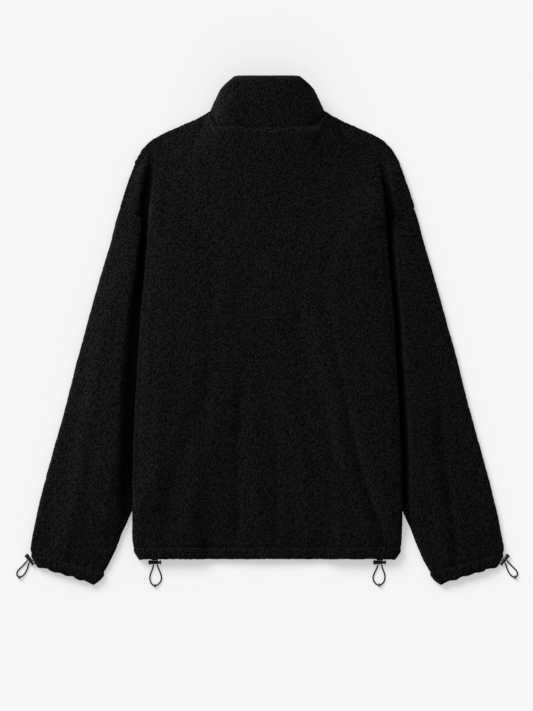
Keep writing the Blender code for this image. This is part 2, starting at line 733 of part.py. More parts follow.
def make_chain():
    """The closed chain between the tapes, with the retainer box at its foot."""
    low = WALL + TAPE_GAP
    outline = (
        (-CHAIN_HALF, CHAIN_TOP_DOWN), (CHAIN_HALF, CHAIN_TOP_DOWN), (CHAIN_HALF, BOX_TOP_DOWN),
        (BOX_HALF, BOX_TOP_DOWN), (BOX_HALF, ZIP_FOOT_DOWN), (-BOX_HALF, ZIP_FOOT_DOWN),
        (-BOX_HALF, BOX_TOP_DOWN), (-CHAIN_HALF, BOX_TOP_DOWN),
    )

    def build(shape):
        """The plan outline, given the chain's thickness."""
        extruded(shape, outline, low, low + CHAIN_THICKNESS)

    return solid("zip_chain", build, BLACK_PLASTIC)


def joined_boxes(name, boxes, finish):
    """One closed body from boxes that run into each other, united by Boolean modifiers."""
    first, *others = boxes
    body = solid(name, lambda shape: add_box(shape, *first), finish)
    for number, box in enumerate(others):
        helper = solid(f"{name}_joint_{number}", lambda shape, b=box: add_box(shape, *b), finish)
        helper.hide_render = True
        helper.display_type = "WIRE"
        union = body.modifiers.new(f"union_{number}", "BOOLEAN")
        union.operation = "UNION"
        union.solver = "EXACT"
        union.object = helper
    return body


def make_slider():
    """The slider at the zip's top: two plates, the nose between them and the pull tab's ears."""
    chain_low = WALL + TAPE_GAP
    lower_top = chain_low - TAPE_GAP
    lower_low = lower_top - PLATE
    upper_low = chain_low + CHAIN_THICKNESS + TAPE_GAP
    nose_top = SLIDER_TOP_DOWN + 0.6
    nose_foot = CHAIN_TOP_DOWN - TAPE_GAP
    sunk = 0.4
    boxes = [
        ((-SLIDER_HALF, SLIDER_TOP_DOWN, lower_low), (SLIDER_HALF, SLIDER_FOOT_DOWN, lower_top)),
        ((-CHAIN_HALF, nose_top, lower_top - sunk), (CHAIN_HALF, nose_foot, upper_low + sunk)),
        ((-SLIDER_HALF, SLIDER_TOP_DOWN, upper_low), (SLIDER_HALF, SLIDER_FOOT_DOWN, upper_low + PLATE)),
    ]
    for side in (-1, 1):
        near, far = sorted((side * EAR_INNER, side * EAR_OUTER))
        ear_low = (near, PULL_AXIS_DOWN - EAR_HALF_LENGTH, PULL_AXIS_HEIGHT - PULL_THICKNESS / 2.0)
        boxes.append((ear_low, (far, PULL_AXIS_DOWN + EAR_HALF_LENGTH, lower_low + sunk)))
    return joined_boxes("zip_slider", boxes, BLACK_METAL)


def make_pull_tab():
    """The pull tab, hinged in the slider's ears and lying along the zip towards the hem."""
    knuckle = PULL_THICKNESS / 2.0
    stations = (
        (0.0, TAB_NECK_HALF), (TAB_NECK_LENGTH, TAB_NECK_HALF), (TAB_NECK_LENGTH + 2.0, TAB_BLADE_HALF),
        (PULL_LENGTH - 1.6, TAB_BLADE_HALF), (PULL_LENGTH, TAB_BLADE_HALF - 1.6),
    )
    turns = [math.radians(90.0 + 30.0 * i) for i in range(7)]

    def build(shape):
        """Cross rows from the round knuckle to the blade's end, about the hinge axis."""
        nose = [(-knuckle * math.cos(t), knuckle * math.sin(t)) for t in turns]
        rows = []
        for across in (-1.0, 1.0):
            outline = [(across * TAB_NECK_HALF, y, z) for y, z in nose]
            lower = [(across * half, -d, -knuckle) for d, half in stations[1:]]
            upper = [(across * half, -d, knuckle) for d, half in reversed(stations[1:])]
            outline += lower + upper
            rows.append([shape.verts.new(Vector(p) * MM) for p in outline])
        left, right = rows
        count = len(left)
        for i in range(count):
            j = (i + 1) % count
            shape.faces.new((left[i], left[j], right[j], right[i]))
        for row in rows:
            shape.faces.new(row[:len(turns)])
            last = len(stations) - 1
            lower = row[len(turns) - 1:len(turns) + last]
            upper = [row[0]] + list(reversed(row[len(turns) + last:]))
            for i in range(last):
                shape.faces.new((lower[i], lower[i + 1], upper[i + 1], upper[i]))

    tab = solid("zip_pull_tab", build, BLACK_METAL)
    tab.location = place(0.0, PULL_AXIS_DOWN, PULL_AXIS_HEIGHT)
    return tab


# ---------------------------------------------------------------- cord locks and cords


def turned(shape, outline, sides, closed=False):
    """A round shape about local X from (along, radius) rows; a radius of 0 is a pole."""
    rings = []
    for along, radius in outline:
        if radius == 0.0:
            rings.append([shape.verts.new((along * MM, 0.0, 0.0))] * sides)
            continue
        turns = [2.0 * math.pi * i / sides for i in range(sides)]
        ring = [(along * MM, radius * MM * math.cos(t), radius * MM * math.sin(t)) for t in turns]
        rings.append([shape.verts.new(p) for p in ring])
    pairs = list(zip(rings, rings[1:]))
    if closed:
        pairs.append((rings[-1], rings[0]))
    for first, second in pairs:
        for i in range(sides):
            j = (i + 1) % sides
            corners = [first[i], first[j], second[j], second[i]]
            face = [c for n, c in enumerate(corners) if c not in corners[:n]]
            shape.faces.new(face)


def aligned(direction):
    """Rotation that turns local X to a direction in the world."""
    ahead = direction.normalized()
    up = Vector((0.0, 0.0, 1.0))
    sideways = up.cross(ahead).normalized()
    return Matrix((ahead, sideways, ahead.cross(sideways))).transposed().to_4x4()


def smooth_route(points):
    """Evenly spaced points on a smooth curve through a route's points."""
    dense = []
    steps = 12
    last = len(points) - 1
    for i in range(last):
        p0, p1, p2 = points[max(i - 1, 0)], points[i], points[i + 1]
        p3 = points[min(i + 2, last)]
        for step in range(steps):
            t = step / steps
            dense.append(0.5 * (2.0 * p1 + (p2 - p0) * t + (2.0 * p0 - 5.0 * p1 + 4.0 * p2 - p3) * t * t
                                + (3.0 * p1 - p0 - 3.0 * p2 + p3) * t ** 3))
    dense.append(points[-1])
    total = sum((b - a).length for a, b in zip(dense, dense[1:]))
    count = max(8, round(total / (CORD_SPACING * MM)))
    even = [dense[0]]
    travelled = 0.0
    for a, b in zip(dense, dense[1:]):
        step = (b - a).length
        while len(even) < count and travelled + step >= total * len(even) / count - 1e-9:
            even.append(a.lerp(b, (total * len(even) / count - travelled) / step))
        travelled += step
    even.append(dense[-1])
    return even


def lock_parts(name, across, down, axis, side, loop):
    """One cord lock with its press button, the cord's loop and the crimp at its tip."""
    centre = place(side * across, down, LOCK_HEIGHT)
    barrel = Matrix.Translation(centre) @ aligned(Vector((axis[0], -axis[1], 0.0)))
    housing = solid(f"cord_lock_{name}", lambda s: turned(s, HOUSING_OUTLINE, LOCK_SIDES), BLACK_PLASTIC)
    housing.matrix_world = barrel
    plunger = solid(f"lock_button_{name}", lambda s: turned(s, PLUNGER_OUTLINE, LOCK_SIDES), BLACK_PLASTIC)
    plunger.matrix_world = barrel
    points = [place(side * across + x, down + d, z) for x, d, z in loop]
    route = smooth_route(points)
    curve = bpy.data.curves.new(f"cord_loop_{name}", "CURVE")
    curve.dimensions = "3D"
    curve.bevel_depth = CORD_RADIUS * MM
    curve.bevel_resolution = 2
    curve.use_fill_caps = True
    spline = curve.splines.new("POLY")
    spline.points.add(len(route) - 1)
    for spot, point in zip(route, spline.points):
        point.co = (*spot, 1.0)
    curve.materials.append(finish_material(f"cord_loop_{name}", CORD))
    cord = bpy.data.objects.new(f"cord_loop_{name}", curve)
    bpy.context.collection.objects.link(cord)
    tip = max(range(len(route)), key=lambda i: route[i].z * (1.0 if 3 < i < len(route) - 4 else 0.0))
    half = CRIMP_LENGTH / 2.0
    outline = ((-half, CRIMP_INNER), (-half, CRIMP_OUTER), (half, CRIMP_OUTER), (half, CRIMP_INNER))
    crimp = solid(f"cord_crimp_{name}", lambda s: turned(s, outline, 12, closed=True), BLACK_METAL)
    along = route[tip + 1] - route[tip - 1]
    along.z = 0.0
    crimp.matrix_world = Matrix.Translation(route[tip]) @ aligned(along)
    return housing, plunger, cord, crimp


def make_hem_tab(side):
    """The small cloth tab at the hem that a cord lock hangs from."""
    middle = side * HEM_LOCK[0]
    foot = HEM_LOCK[1] - 3.1 - 0.4

    def build(shape):
        """The tab's box, between the hem's edge and the barrel."""
        low = (middle - TAB_HALF, HEM_DOWN + 0.35, LOCK_HEIGHT - TAB_THICKNESS / 2.0)
        add_box(shape, low, (middle + TAB_HALF, foot, LOCK_HEIGHT + TAB_THICKNESS / 2.0))

    return solid("cord_tab_left" if side < 0 else "cord_tab_right", build, FLEECE)


def main():
    """Clear the scene and lay out the garment."""
    for thing in list(bpy.data.objects):
        bpy.data.objects.remove(thing, do_unlink=True)
    make_back()
    make_collar()
    make_binding()
    make_chain()
    make_slider()
    make_pull_tab()
    for side in (-1, 1):
        make_front(side)
        make_sleeve(side)
        make_tape(side)
        make_hem_tab(side)
    lock_parts("hem_left", HEM_LOCK[0], HEM_LOCK[1], (1.0, 0.0), -1, HEM_LOOP_LEFT)
    lock_parts("hem_right", HEM_LOCK[0], HEM_LOCK[1], (1.0, 0.0), 1, HEM_LOOP_RIGHT)
    for name, side in (("cuff_left", -1), ("cuff_right", 1)):
        axis = (side * CUFF_LOCK_AXIS[0], CUFF_LOCK_AXIS[1])
        loop = [(side * x, d, z) for x, d, z in CUFF_LOOP]
        lock_parts(name, CUFF_LOCK[0], CUFF_LOCK[1], axis, side, loop)


main()
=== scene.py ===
"""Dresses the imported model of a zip-up sherpa fleece sweatshirt that lies flat, back side up.

Sizes are in millimetres, taken as a tailor lays a tape: `across` from the centre line, `down`
from the collar's top edge, and `height` above the surface below. `place` turns them into metres.
"""
from __future__ import annotations

import json
import logging
import math
from dataclasses import dataclass, field
from enum import Enum
from typing import Callable, Iterable

import bpy
import numpy as np
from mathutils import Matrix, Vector

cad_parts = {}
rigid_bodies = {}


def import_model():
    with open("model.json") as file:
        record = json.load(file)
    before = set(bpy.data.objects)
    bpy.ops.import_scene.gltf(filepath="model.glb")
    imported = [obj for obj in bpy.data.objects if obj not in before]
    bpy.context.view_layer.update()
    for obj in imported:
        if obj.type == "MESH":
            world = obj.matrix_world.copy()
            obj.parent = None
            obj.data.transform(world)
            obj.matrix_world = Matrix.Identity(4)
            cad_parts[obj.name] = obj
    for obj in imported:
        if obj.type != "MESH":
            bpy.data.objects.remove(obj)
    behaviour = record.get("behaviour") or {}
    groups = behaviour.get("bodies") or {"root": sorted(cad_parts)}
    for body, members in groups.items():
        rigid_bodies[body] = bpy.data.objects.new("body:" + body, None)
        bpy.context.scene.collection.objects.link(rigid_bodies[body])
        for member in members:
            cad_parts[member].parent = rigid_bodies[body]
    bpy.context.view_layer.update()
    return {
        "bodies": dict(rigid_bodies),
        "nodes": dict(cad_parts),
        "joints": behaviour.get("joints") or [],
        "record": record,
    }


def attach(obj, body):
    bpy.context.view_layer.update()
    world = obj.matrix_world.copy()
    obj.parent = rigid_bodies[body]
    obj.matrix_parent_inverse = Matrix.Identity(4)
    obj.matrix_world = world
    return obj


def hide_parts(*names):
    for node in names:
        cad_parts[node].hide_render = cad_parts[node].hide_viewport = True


LOG = logging.getLogger("sweatshirt")
MM = 0.001
ORIGIN_DOWN = 406.155
GARMENT = "garment"
ALL_RINGS = 98
FADE_IN = (-70.0, 50.0)
FADE_OUT = (-20.0, 40.0)
DOME_SHARE, CURL_SHARE, FIBRE_SHARE = 0.6, 0.22, 0.18
# pile heights over which painted shade fills the gaps between clumps, darkest on the lowest pile
PAINTED_GAP_SHADE_LOW, PAINTED_GAP_SHADE_HIGH = 0.43, 0.69
CURLS_PER_CLUMP = 2.3

Array = np.ndarray
Table = tuple[tuple[float, float], ...]
Colour = tuple[float, float, float]


class Side(Enum):
    """A side of the garment as it lies: the wearer's left is towards -X."""

    LEFT = -1
    RIGHT = 1

    @property
    def word(self) -> str:
        """The side's name as the nodes use it."""
        return self.name.lower()


# ------------------------------------------------------------------ tape measure and curves


def place(across: Array, down: Array, height: Array) -> Array:
    """World positions in metres of points given by the tape.

    Args:
        across: distances from the centre line.
        down: distances below the collar's top edge.
        height: heights above the surface.

    Returns:
        An array with a last axis of x, y and z.
    """
    across, down, height = np.broadcast_arrays(across, down, height)
    return np.stack([across * MM, (ORIGIN_DOWN - down) * MM, height * MM], axis=-1)


def ramp(value: Array, start: float, end: float) -> Array:
    """Smooth step from 0 at start to 1 at end."""
    share = np.clip((value - start) / (end - start), 0.0, 1.0)
    return share * share * (3.0 - 2.0 * share)


def mix(low: Array, high: Array, share: Array) -> Array:
    """Value at a share of the way from low to high."""
    return low + (high - low) * share


def bell(value: Array, width: float) -> Array:
    """A bell curve of height 1 about 0."""
    return np.exp(-(value / width) ** 2)


def read(table: Table, at: Array) -> Array:
    """Second column of a table at values of its first column, on a smooth curve.

    Args:
        table: rows of (position, value), in order.
        at: positions to read at.

    Returns:
        The values there.
    """
    x, y = (np.array(column) for column in zip(*table))
    at = np.clip(at, x[0], x[-1])
    i = np.clip(np.searchsorted(x, at, side="right") - 1, 0, len(x) - 2)
    before, after = np.maximum(i - 1, 0), np.minimum(i + 2, len(x) - 1)
    span = x[i + 1] - x[i]
    share = (at - x[i]) / span
    slope0 = (y[i + 1] - y[before]) / (x[i + 1] - x[before])
    slope1 = (y[after] - y[i]) / (x[after] - x[i])
    cubic = 2.0 * share**3 - 3.0 * share**2 + 1.0
    lean = (share**3 - 2.0 * share**2 + share) * slope0 + (share**3 - share**2) * slope1
    return cubic * y[i] + (1.0 - cubic) * y[i + 1] + span * lean


def scatter(i: Array, j: Array, seed: int) -> Array:
    """A fixed value from 0 to 1 for each whole-number cell.

    Args:
        i: cell columns.
        j: cell rows.
        seed: picks one of many patterns.

    Returns:
        One value a cell.
    """
    mixed = (i.astype(np.int64) * 73856093) ^ (j.astype(np.int64) * 19349663) ^ (seed * 83492791)
    mixed = ((mixed & 0xFFFFFFFF) * 2654435761) & 0xFFFFFFFF
    mixed = ((mixed ^ (mixed >> 15)) * 2246822519) & 0xFFFFFFFF
    return ((mixed ^ (mixed >> 13)) & 0xFFFFFF) / float(0xFFFFFF)


def drift(u: Array, v: Array, cell: float, seed: int) -> Array:
    """Soft uneven values from 0 to 1 that change over a cell's length.

    Args:
        u: positions across the cloth.
        v: positions along the cloth.
        cell: length over which the value changes.
        seed: picks one of many patterns.

    Returns:
        The values.
    """
    i, j = np.floor(u / cell), np.floor(v / cell)
    su, sv = ramp(u / cell - i, 0.0, 1.0), ramp(v / cell - j, 0.0, 1.0)
    upper = mix(scatter(i, j, seed), scatter(i + 1, j, seed), su)
    lower = mix(scatter(i, j + 1, seed), scatter(i + 1, j + 1, seed), su)
    return mix(upper, lower, sv)


def clumps(u: Array, v: Array, cell: float, seed: int) -> Array:
    """Rounded clumps of curled pile, from 0 between them to 1 on the largest.

    Args:
        u: positions across the cloth.
        v: positions along the cloth.
        cell: usual width of a clump.
        seed: picks one of many patterns.

    Returns:
        The clumps' height as a share.
    """
    i, j = np.floor(u / cell), np.floor(v / cell)
    nearest = np.full(np.shape(u), np.inf)
    size = np.zeros(np.shape(u))
    for di in (-1, 0, 1):
        for dj in (-1, 0, 1):
            ci, cj = i + di, j + dj
            pu = (ci + 0.1 + 0.8 * scatter(ci, cj, seed)) * cell
            pv = (cj + 0.1 + 0.8 * scatter(ci, cj, seed + 1)) * cell
            gap = np.hypot(u - pu, v - pv)
            closer = gap < nearest
            nearest = np.where(closer, gap, nearest)
            size = np.where(closer, scatter(ci, cj, seed + 2), size)
    dome = np.sqrt(np.clip(1.0 - (nearest / (0.85 * cell)) ** 2, 0.0, 1.0))
    return dome * (0.55 + 0.45 * size)


Fold = tuple[Table, float, float]


def soft_folds(folds: tuple[Fold, ...], across: Array, down: Array) -> Array:
    """Height of soft ridges and troughs that run down the cloth.

    Args:
        folds: rows of (crest as (down, across) rows, half width, height or negative depth).
        across: distances from the centre line.
        down: distances below the collar's top edge.

    Returns:
        Their summed height.
    """
    total = np.zeros(np.broadcast(across, down).shape)
    for crest, half_width, height in folds:
        first, last = crest[0][0], crest[-1][0]
        begun = ramp(down, first + FADE_IN[0], first + FADE_IN[1])
        fade = begun * (1.0 - ramp(down, last + FADE_OUT[0], last + FADE_OUT[1]))
        total = total + height * fade * bell(across - read(crest, down), half_width)
    return total


def gathered(casing: Array, broad: Array, fine: Array) -> Array:
    """Height of a casing that its cord gathers.

    Args:
        casing: 1 on the casing and 0 above it.
        broad: angle of the broad gathers.
        fine: angle of the fine gathers.

    Returns:
        The height in millimetres.
    """
    gather = 0.5 + 0.3 * np.cos(broad) + 0.2 * np.cos(fine)
    return casing * (0.8 + 0.9 * gather)


# ------------------------------------------------------------------ shader building


class Graph:
    """A node tree with short calls to add nodes and join them."""

    def __init__(self, tree: bpy.types.NodeTree) -> None:
        """Start on an empty or given tree."""
        self.tree = tree

    def add(self, kind: str, inputs: dict | None = None, **settings: object) -> bpy.types.Node:
        """Add a node.

        Args:
            kind: the node's type name without its ShaderNode prefix.
            inputs: values or other nodes' sockets, by input name or number.
            settings: properties of the node.

        Returns:
            The node.
        """
        node = self.tree.nodes.new(kind if kind.startswith("NodeGroup") else "ShaderNode" + kind)
        for name, value in settings.items():
            setattr(node, name, value)
        for name, value in (inputs or {}).items():
            if isinstance(value, bpy.types.NodeSocket):
                self.tree.links.new(value, node.inputs[name])
            else:
                node.inputs[name].default_value = value
        return node

    def math(self, operation: str, first: object, second: object = 0.0) -> bpy.types.NodeSocket:
        """The output of a math node on two values or sockets."""
        return self.add("Math", {0: first, 1: second}, operation=operation).outputs[0]

    def blend(self, factor: object, low: object, high: object) -> bpy.types.NodeSocket:
        """A colour between two, by a factor."""
        node = self.add("Mix", {"Factor": factor, 6: low, 7: high}, data_type="RGBA")
        return node.outputs[2]

    def spread(self, value: object, low: float, high: float) -> bpy.types.NodeSocket:
        """A 0 to 1 value spread between two limits."""
        return self.add("MapRange", {0: value, 3: low, 4: high}).outputs[0]


@dataclass(frozen=True)
class GroupSpec:
    """The name and sockets of a shared node group."""

    name: str
    inputs: tuple[tuple[str, str, object], ...]
    outputs: tuple[tuple[str, str], ...]

    def make(self, fill: Callable[[Graph, dict, dict], None]) -> bpy.types.NodeTree:
        """Build the group once.

        Args:
            fill: draws the group's inside from its input sockets to its output sockets.

        Returns:
            The node group.
        """
        known = bpy.data.node_groups.get(self.name)
        if known is not None:
            return known
        group = bpy.data.node_groups.new(self.name, "ShaderNodeTree")
        for name, kind, default in self.inputs:
            socket = group.interface.new_socket(name, in_out="INPUT", socket_type=f"NodeSocket{kind}")
            if default is not None:
                socket.default_value = default
        for name, kind in self.outputs:
            group.interface.new_socket(name, in_out="OUTPUT", socket_type=f"NodeSocket{kind}")
        graph = Graph(group)
        start, end = graph.add("NodeGroupInput"), graph.add("NodeGroupOutput")
        sinks: dict = {}
        fill(graph, {s.name: s for s in start.outputs if s.name}, sinks)
        for name, socket in sinks.items():
            group.links.new(socket, end.inputs[name])
        return group


def pile_group() -> bpy.types.NodeTree:
    """Curled sherpa pile: its clumps, its fibres, shade painted into the gaps between clumps, and how its
    tone drifts over the cloth.

    Returns:
        The node group.
    """
    spec = GroupSpec(
        "sherpa_pile",
        (("Vector", "Vector", None), ("Clump Scale", "Float", 190.0), ("Fibre Scale", "Float", 900.0),
         ("Patch Scale", "Float", 16.0), ("Curl", "Float", 0.004)),
        (("Tone", "Float"), ("Height", "Float"), ("Gaps", "Float")),
    )

    def fill(graph: Graph, source: dict, sink: dict) -> None:
        """Draw the pile from twisted cells, fibres and broad patches, and paint shade into the gaps between
        clumps.

        Args:
            graph: the group's inside.
            source: its input sockets by name.
            sink: its output sockets by name, to be filled.
        """
        twist = graph.add("TexNoise", {"Vector": source["Vector"], "Scale": 120.0, "Detail": 2.0})
        grey = (0.5, 0.5, 0.5)
        centred = graph.add("VectorMath", {0: twist.outputs["Color"], 1: grey}, operation="SUBTRACT")
        turn = graph.add("VectorMath", {0: centred.outputs[0]}, operation="SCALE")
        graph.tree.links.new(source["Curl"], turn.inputs["Scale"])
        spot = graph.add("VectorMath", {0: source["Vector"], 1: turn.outputs[0]}, operation="ADD").outputs[0]
        cells = graph.add("TexVoronoi", {"Vector": spot, "Scale": source["Clump Scale"]}, feature="F1")
        small = graph.math("MULTIPLY", source["Clump Scale"], CURLS_PER_CLUMP)
        curls = graph.add("TexVoronoi", {"Vector": spot, "Scale": small}, feature="F1")
        fibres = graph.add("TexNoise", {"Vector": spot, "Scale": source["Fibre Scale"], "Detail": 3.0})
        patches = graph.add(
            "TexNoise", {"Vector": source["Vector"], "Scale": source["Patch Scale"], "Detail": 2.0})
        dome = graph.math("SUBTRACT", 1.0, cells.outputs["Distance"])
        curl = graph.math("SUBTRACT", 1.0, curls.outputs["Distance"])
        dome, curl = graph.math("MULTIPLY", dome, DOME_SHARE), graph.math("MULTIPLY", curl, CURL_SHARE)
        height = graph.math("ADD", dome, curl)
        height = graph.math("ADD", height, graph.math("MULTIPLY", fibres.outputs["Fac"], FIBRE_SHARE))
        sink["Height"] = height
        # painted shade: the lower the pile between clumps, the darker its colour, standing in for the shade
        # in the gaps
        sink["Gaps"] = graph.add("MapRange", {0: height, 1: PAINTED_GAP_SHADE_LOW, 2: PAINTED_GAP_SHADE_HIGH}).outputs[0]
        drifting = graph.spread(patches.outputs["Fac"], 0.75, 1.25)
        # the tone is the painted gap shade times a random drifting tone
        sink["Tone"] = graph.math("MULTIPLY", sink["Gaps"], drifting)

    return spec.make(fill)


def weave_group() -> bpy.types.NodeTree:
    """Threads that cross in a fine weave or rib.

    Returns:
        The node group.
    """
    spec = GroupSpec(
        "woven_threads",
        (("Vector", "Vector", None), ("Thread Scale", "Float", 700.0), ("Rib", "Float", 0.5)),
        (("Tone", "Float"), ("Height", "Float")),
    )

    def fill(graph: Graph, source: dict, sink: dict) -> None:
        """Draw warp and weft as two crossed waves with loose fibres over them.

        Args:
            graph: the group's inside.
            source: its input sockets by name.
            sink: its output sockets by name, to be filled.
        """
        threads = []
        for direction in ("X", "Y"):
            wave = graph.add(
                "TexWave",
                {"Vector": source["Vector"], "Scale": source["Thread Scale"], "Distortion": 0.6},
                bands_direction=direction,
            )
            threads.append(wave.outputs["Fac"])
        loose = graph.add("TexNoise", {"Vector": source["Vector"], "Scale": 1500.0, "Detail": 2.0})
        crossed = graph.add("Mix", {"Factor": source["Rib"], 2: threads[0], 3: threads[1]}).outputs[0]
        height = graph.math("ADD", crossed, graph.math("MULTIPLY", loose.outputs["Fac"], 0.4))
        sink["Height"] = height
        sink["Tone"] = graph.spread(height, 0.0, 0.9)

    return spec.make(fill)


def handling_group() -> bpy.types.NodeTree:
    """Fine scuffs and a little dust on hard pieces.

    Returns:
        The node group.
    """
    spec = GroupSpec(
        "handling_marks",
        (("Vector", "Vector", None), ("Scuff Scale", "Float", 260.0), ("Amount", "Float", 0.5)),
        (("Scuffs", "Float"), ("Height", "Float")),
    )

    def fill(graph: Graph, source: dict, sink: dict) -> None:
        """Draw short stretched scuffs that come in patches.

        Args:
            graph: the group's inside.
            source: its input sockets by name.
            sink: its output sockets by name, to be filled.
        """
        stretched = graph.add("VectorMath", {0: source["Vector"], 1: (1.0, 4.0, 2.0)}, operation="MULTIPLY")
        fine = graph.add(
            "TexNoise", {"Vector": stretched.outputs[0], "Scale": source["Scuff Scale"], "Detail": 4.0})
        broad = graph.add("TexNoise", {"Vector": source["Vector"], "Scale": 60.0, "Detail": 1.0})
        marks = graph.math("MULTIPLY", fine.outputs["Fac"], broad.outputs["Fac"])
        sink["Scuffs"] = graph.math("MULTIPLY", marks, source["Amount"])
        sink["Height"] = fine.outputs["Fac"]

    return spec.make(fill)


def new_material(name: str) -> tuple[bpy.types.Material, Graph, bpy.types.Node, bpy.types.NodeSocket]:
    """A material with an empty tree.

    Args:
        name: the material's name.

    Returns:
        The material, its graph, its Principled shader and the object's coordinates.
    """
    material = bpy.data.materials.new(name)
    material.use_nodes = True
    graph = Graph(material.node_tree)
    shader = material.node_tree.nodes["Principled BSDF"]
    coordinates = graph.add("TexCoord").outputs["Object"]
    return material, graph, shader, coordinates


@dataclass(frozen=True)
class PileFinish:
    """Black sherpa fleece, with shade painted into its colour and sheen in creases and in the gaps between
    pile clumps.
    """

    name: str = "sherpa_fleece"
    # low is the near-black colour that paints the shade in the gaps between pile clumps; high is the clumps'
    # own colour
    low: Colour = (0.0002, 0.0002, 0.0003)
    high: Colour = (0.0050, 0.0047, 0.0058)
    roughness: float = 0.95
    sheen: float = 0.05
    sheen_tint: Colour = (0.88, 0.86, 1.0)
    sheen_roughness: float = 0.45
    specular: float = 0.03
    clump_scale: float = 350.0
    # painted shade in creases: how far the occlusion test reaches, then the occlusion values at which the
    # painted shade is full and at which it is gone
    crease_reach: float = 0.032
    shut: float = 0.60
    open: float = 0.90
    depth: float = 0.005

    def material(self) -> bpy.types.Material:
        """Build the fleece's material.

        Returns:
            The material.
        """
        made, graph, shader, spot = new_material(self.name)
        pile = graph.add("Group", node_tree=pile_group())
        graph.tree.links.new(spot, pile.inputs["Vector"])
        pile.inputs["Clump Scale"].default_value = self.clump_scale
        # the pile's colour runs from the painted shade of the gaps (low) to the clumps' own colour (high)
        colour = graph.blend(pile.outputs["Tone"], (*self.low, 1.0), (*self.high, 1.0))
        # painted shade: ambient occlusion darkens the fleece's colour in creases and folds, where shade
        # falls
        crease_occlusion = graph.add("AmbientOcclusion", {"Distance": self.crease_reach}, samples=6).outputs["AO"]
        painted_crease_shade = graph.add("MapRange", {0: crease_occlusion, 1: self.shut, 2: self.open}).outputs[0]
        shaded = graph.add("VectorMath", {0: colour, "Scale": painted_crease_shade}, operation="SCALE").outputs[0]
        graph.tree.links.new(shaded, shader.inputs["Base Color"])
        bump = graph.add(
            "Bump", {"Height": pile.outputs["Height"], "Distance": self.depth, "Strength": 1.0})
        graph.tree.links.new(bump.outputs[0], shader.inputs["Normal"])
        shader.inputs["Roughness"].default_value = self.roughness
        shader.inputs["Specular IOR Level"].default_value = self.specular
        # painted shade on the sheen: less sheen in creases and in the gaps between pile clumps
        sheen_with_painted_shade = graph.math("MULTIPLY", painted_crease_shade, graph.spread(pile.outputs["Tone"], 0.5, 1.0))
        graph.tree.links.new(graph.math("MULTIPLY", sheen_with_painted_shade, self.sheen), shader.inputs["Sheen Weight"])
        shader.inputs["Sheen Roughness"].default_value = self.sheen_roughness
        shader.inputs["Sheen Tint"].default_value = (*self.sheen_tint, 1.0)
        return made


@dataclass(frozen=True)
class WovenFinish:
    """Smooth woven or knitted black trim, such as binding, zip tape or braided cord."""

    name: str
    low: Colour = (0.0018, 0.0018, 0.0020)
    high: Colour = (0.0075, 0.0075, 0.0085)
    roughness: float = 0.75
    thread_scale: float = 500.0
    rib: float = 0.5
    depth: float = 0.0002
    relief: float = 0.7
    specular: float = 0.25

    def material(self) -> bpy.types.Material:
        """Build the trim's material.

        Returns:
            The material.
        """
        made, graph, shader, spot = new_material(self.name)
        weave = graph.add("Group", node_tree=weave_group())
        graph.tree.links.new(spot, weave.inputs["Vector"])
        weave.inputs["Thread Scale"].default_value = self.thread_scale
        weave.inputs["Rib"].default_value = self.rib
        colour = graph.blend(weave.outputs["Tone"], (*self.low, 1.0), (*self.high, 1.0))
        graph.tree.links.new(colour, shader.inputs["Base Color"])
        bump = graph.add(
            "Bump", {"Height": weave.outputs["Height"], "Distance": self.depth, "Strength": self.relief})
        graph.tree.links.new(bump.outputs[0], shader.inputs["Normal"])
        shader.inputs["Roughness"].default_value = self.roughness
        shader.inputs["Specular IOR Level"].default_value = self.specular
        return made


@dataclass(frozen=True)
class HardFinish:
    """Black plastic or lacquered metal with light handling marks."""

    name: str
    colour: Colour
    worn: Colour
    roughness: tuple[float, float]
    metallic: float = 0.0
    coat: float = 0.0
    coat_roughness: float = 0.15
    specular: float = 0.4
    marks: float = 0.5
    depth: float = 0.00004
    relief: float = 0.4

    def material(self) -> bpy.types.Material:
        """Build the hard piece's material.

        Returns:
            The material.
        """
        made, graph, shader, spot = new_material(self.name)
        marks = graph.add("Group", node_tree=handling_group())
        graph.tree.links.new(spot, marks.inputs["Vector"])
        marks.inputs["Amount"].default_value = self.marks
        colour = graph.blend(marks.outputs["Scuffs"], (*self.colour, 1.0), (*self.worn, 1.0))
        graph.tree.links.new(colour, shader.inputs["Base Color"])
        rough = graph.spread(marks.outputs["Scuffs"], *self.roughness)
        graph.tree.links.new(rough, shader.inputs["Roughness"])
        bump = graph.add(
            "Bump", {"Height": marks.outputs["Height"], "Distance": self.depth, "Strength": self.relief})
        graph.tree.links.new(bump.outputs[0], shader.inputs["Normal"])
        shader.inputs["Metallic"].default_value = self.metallic
        shader.inputs["Specular IOR Level"].default_value = self.specular
        shader.inputs["Coat Weight"].default_value = self.coat
        shader.inputs["Coat Roughness"].default_value = self.coat_roughness
        return made


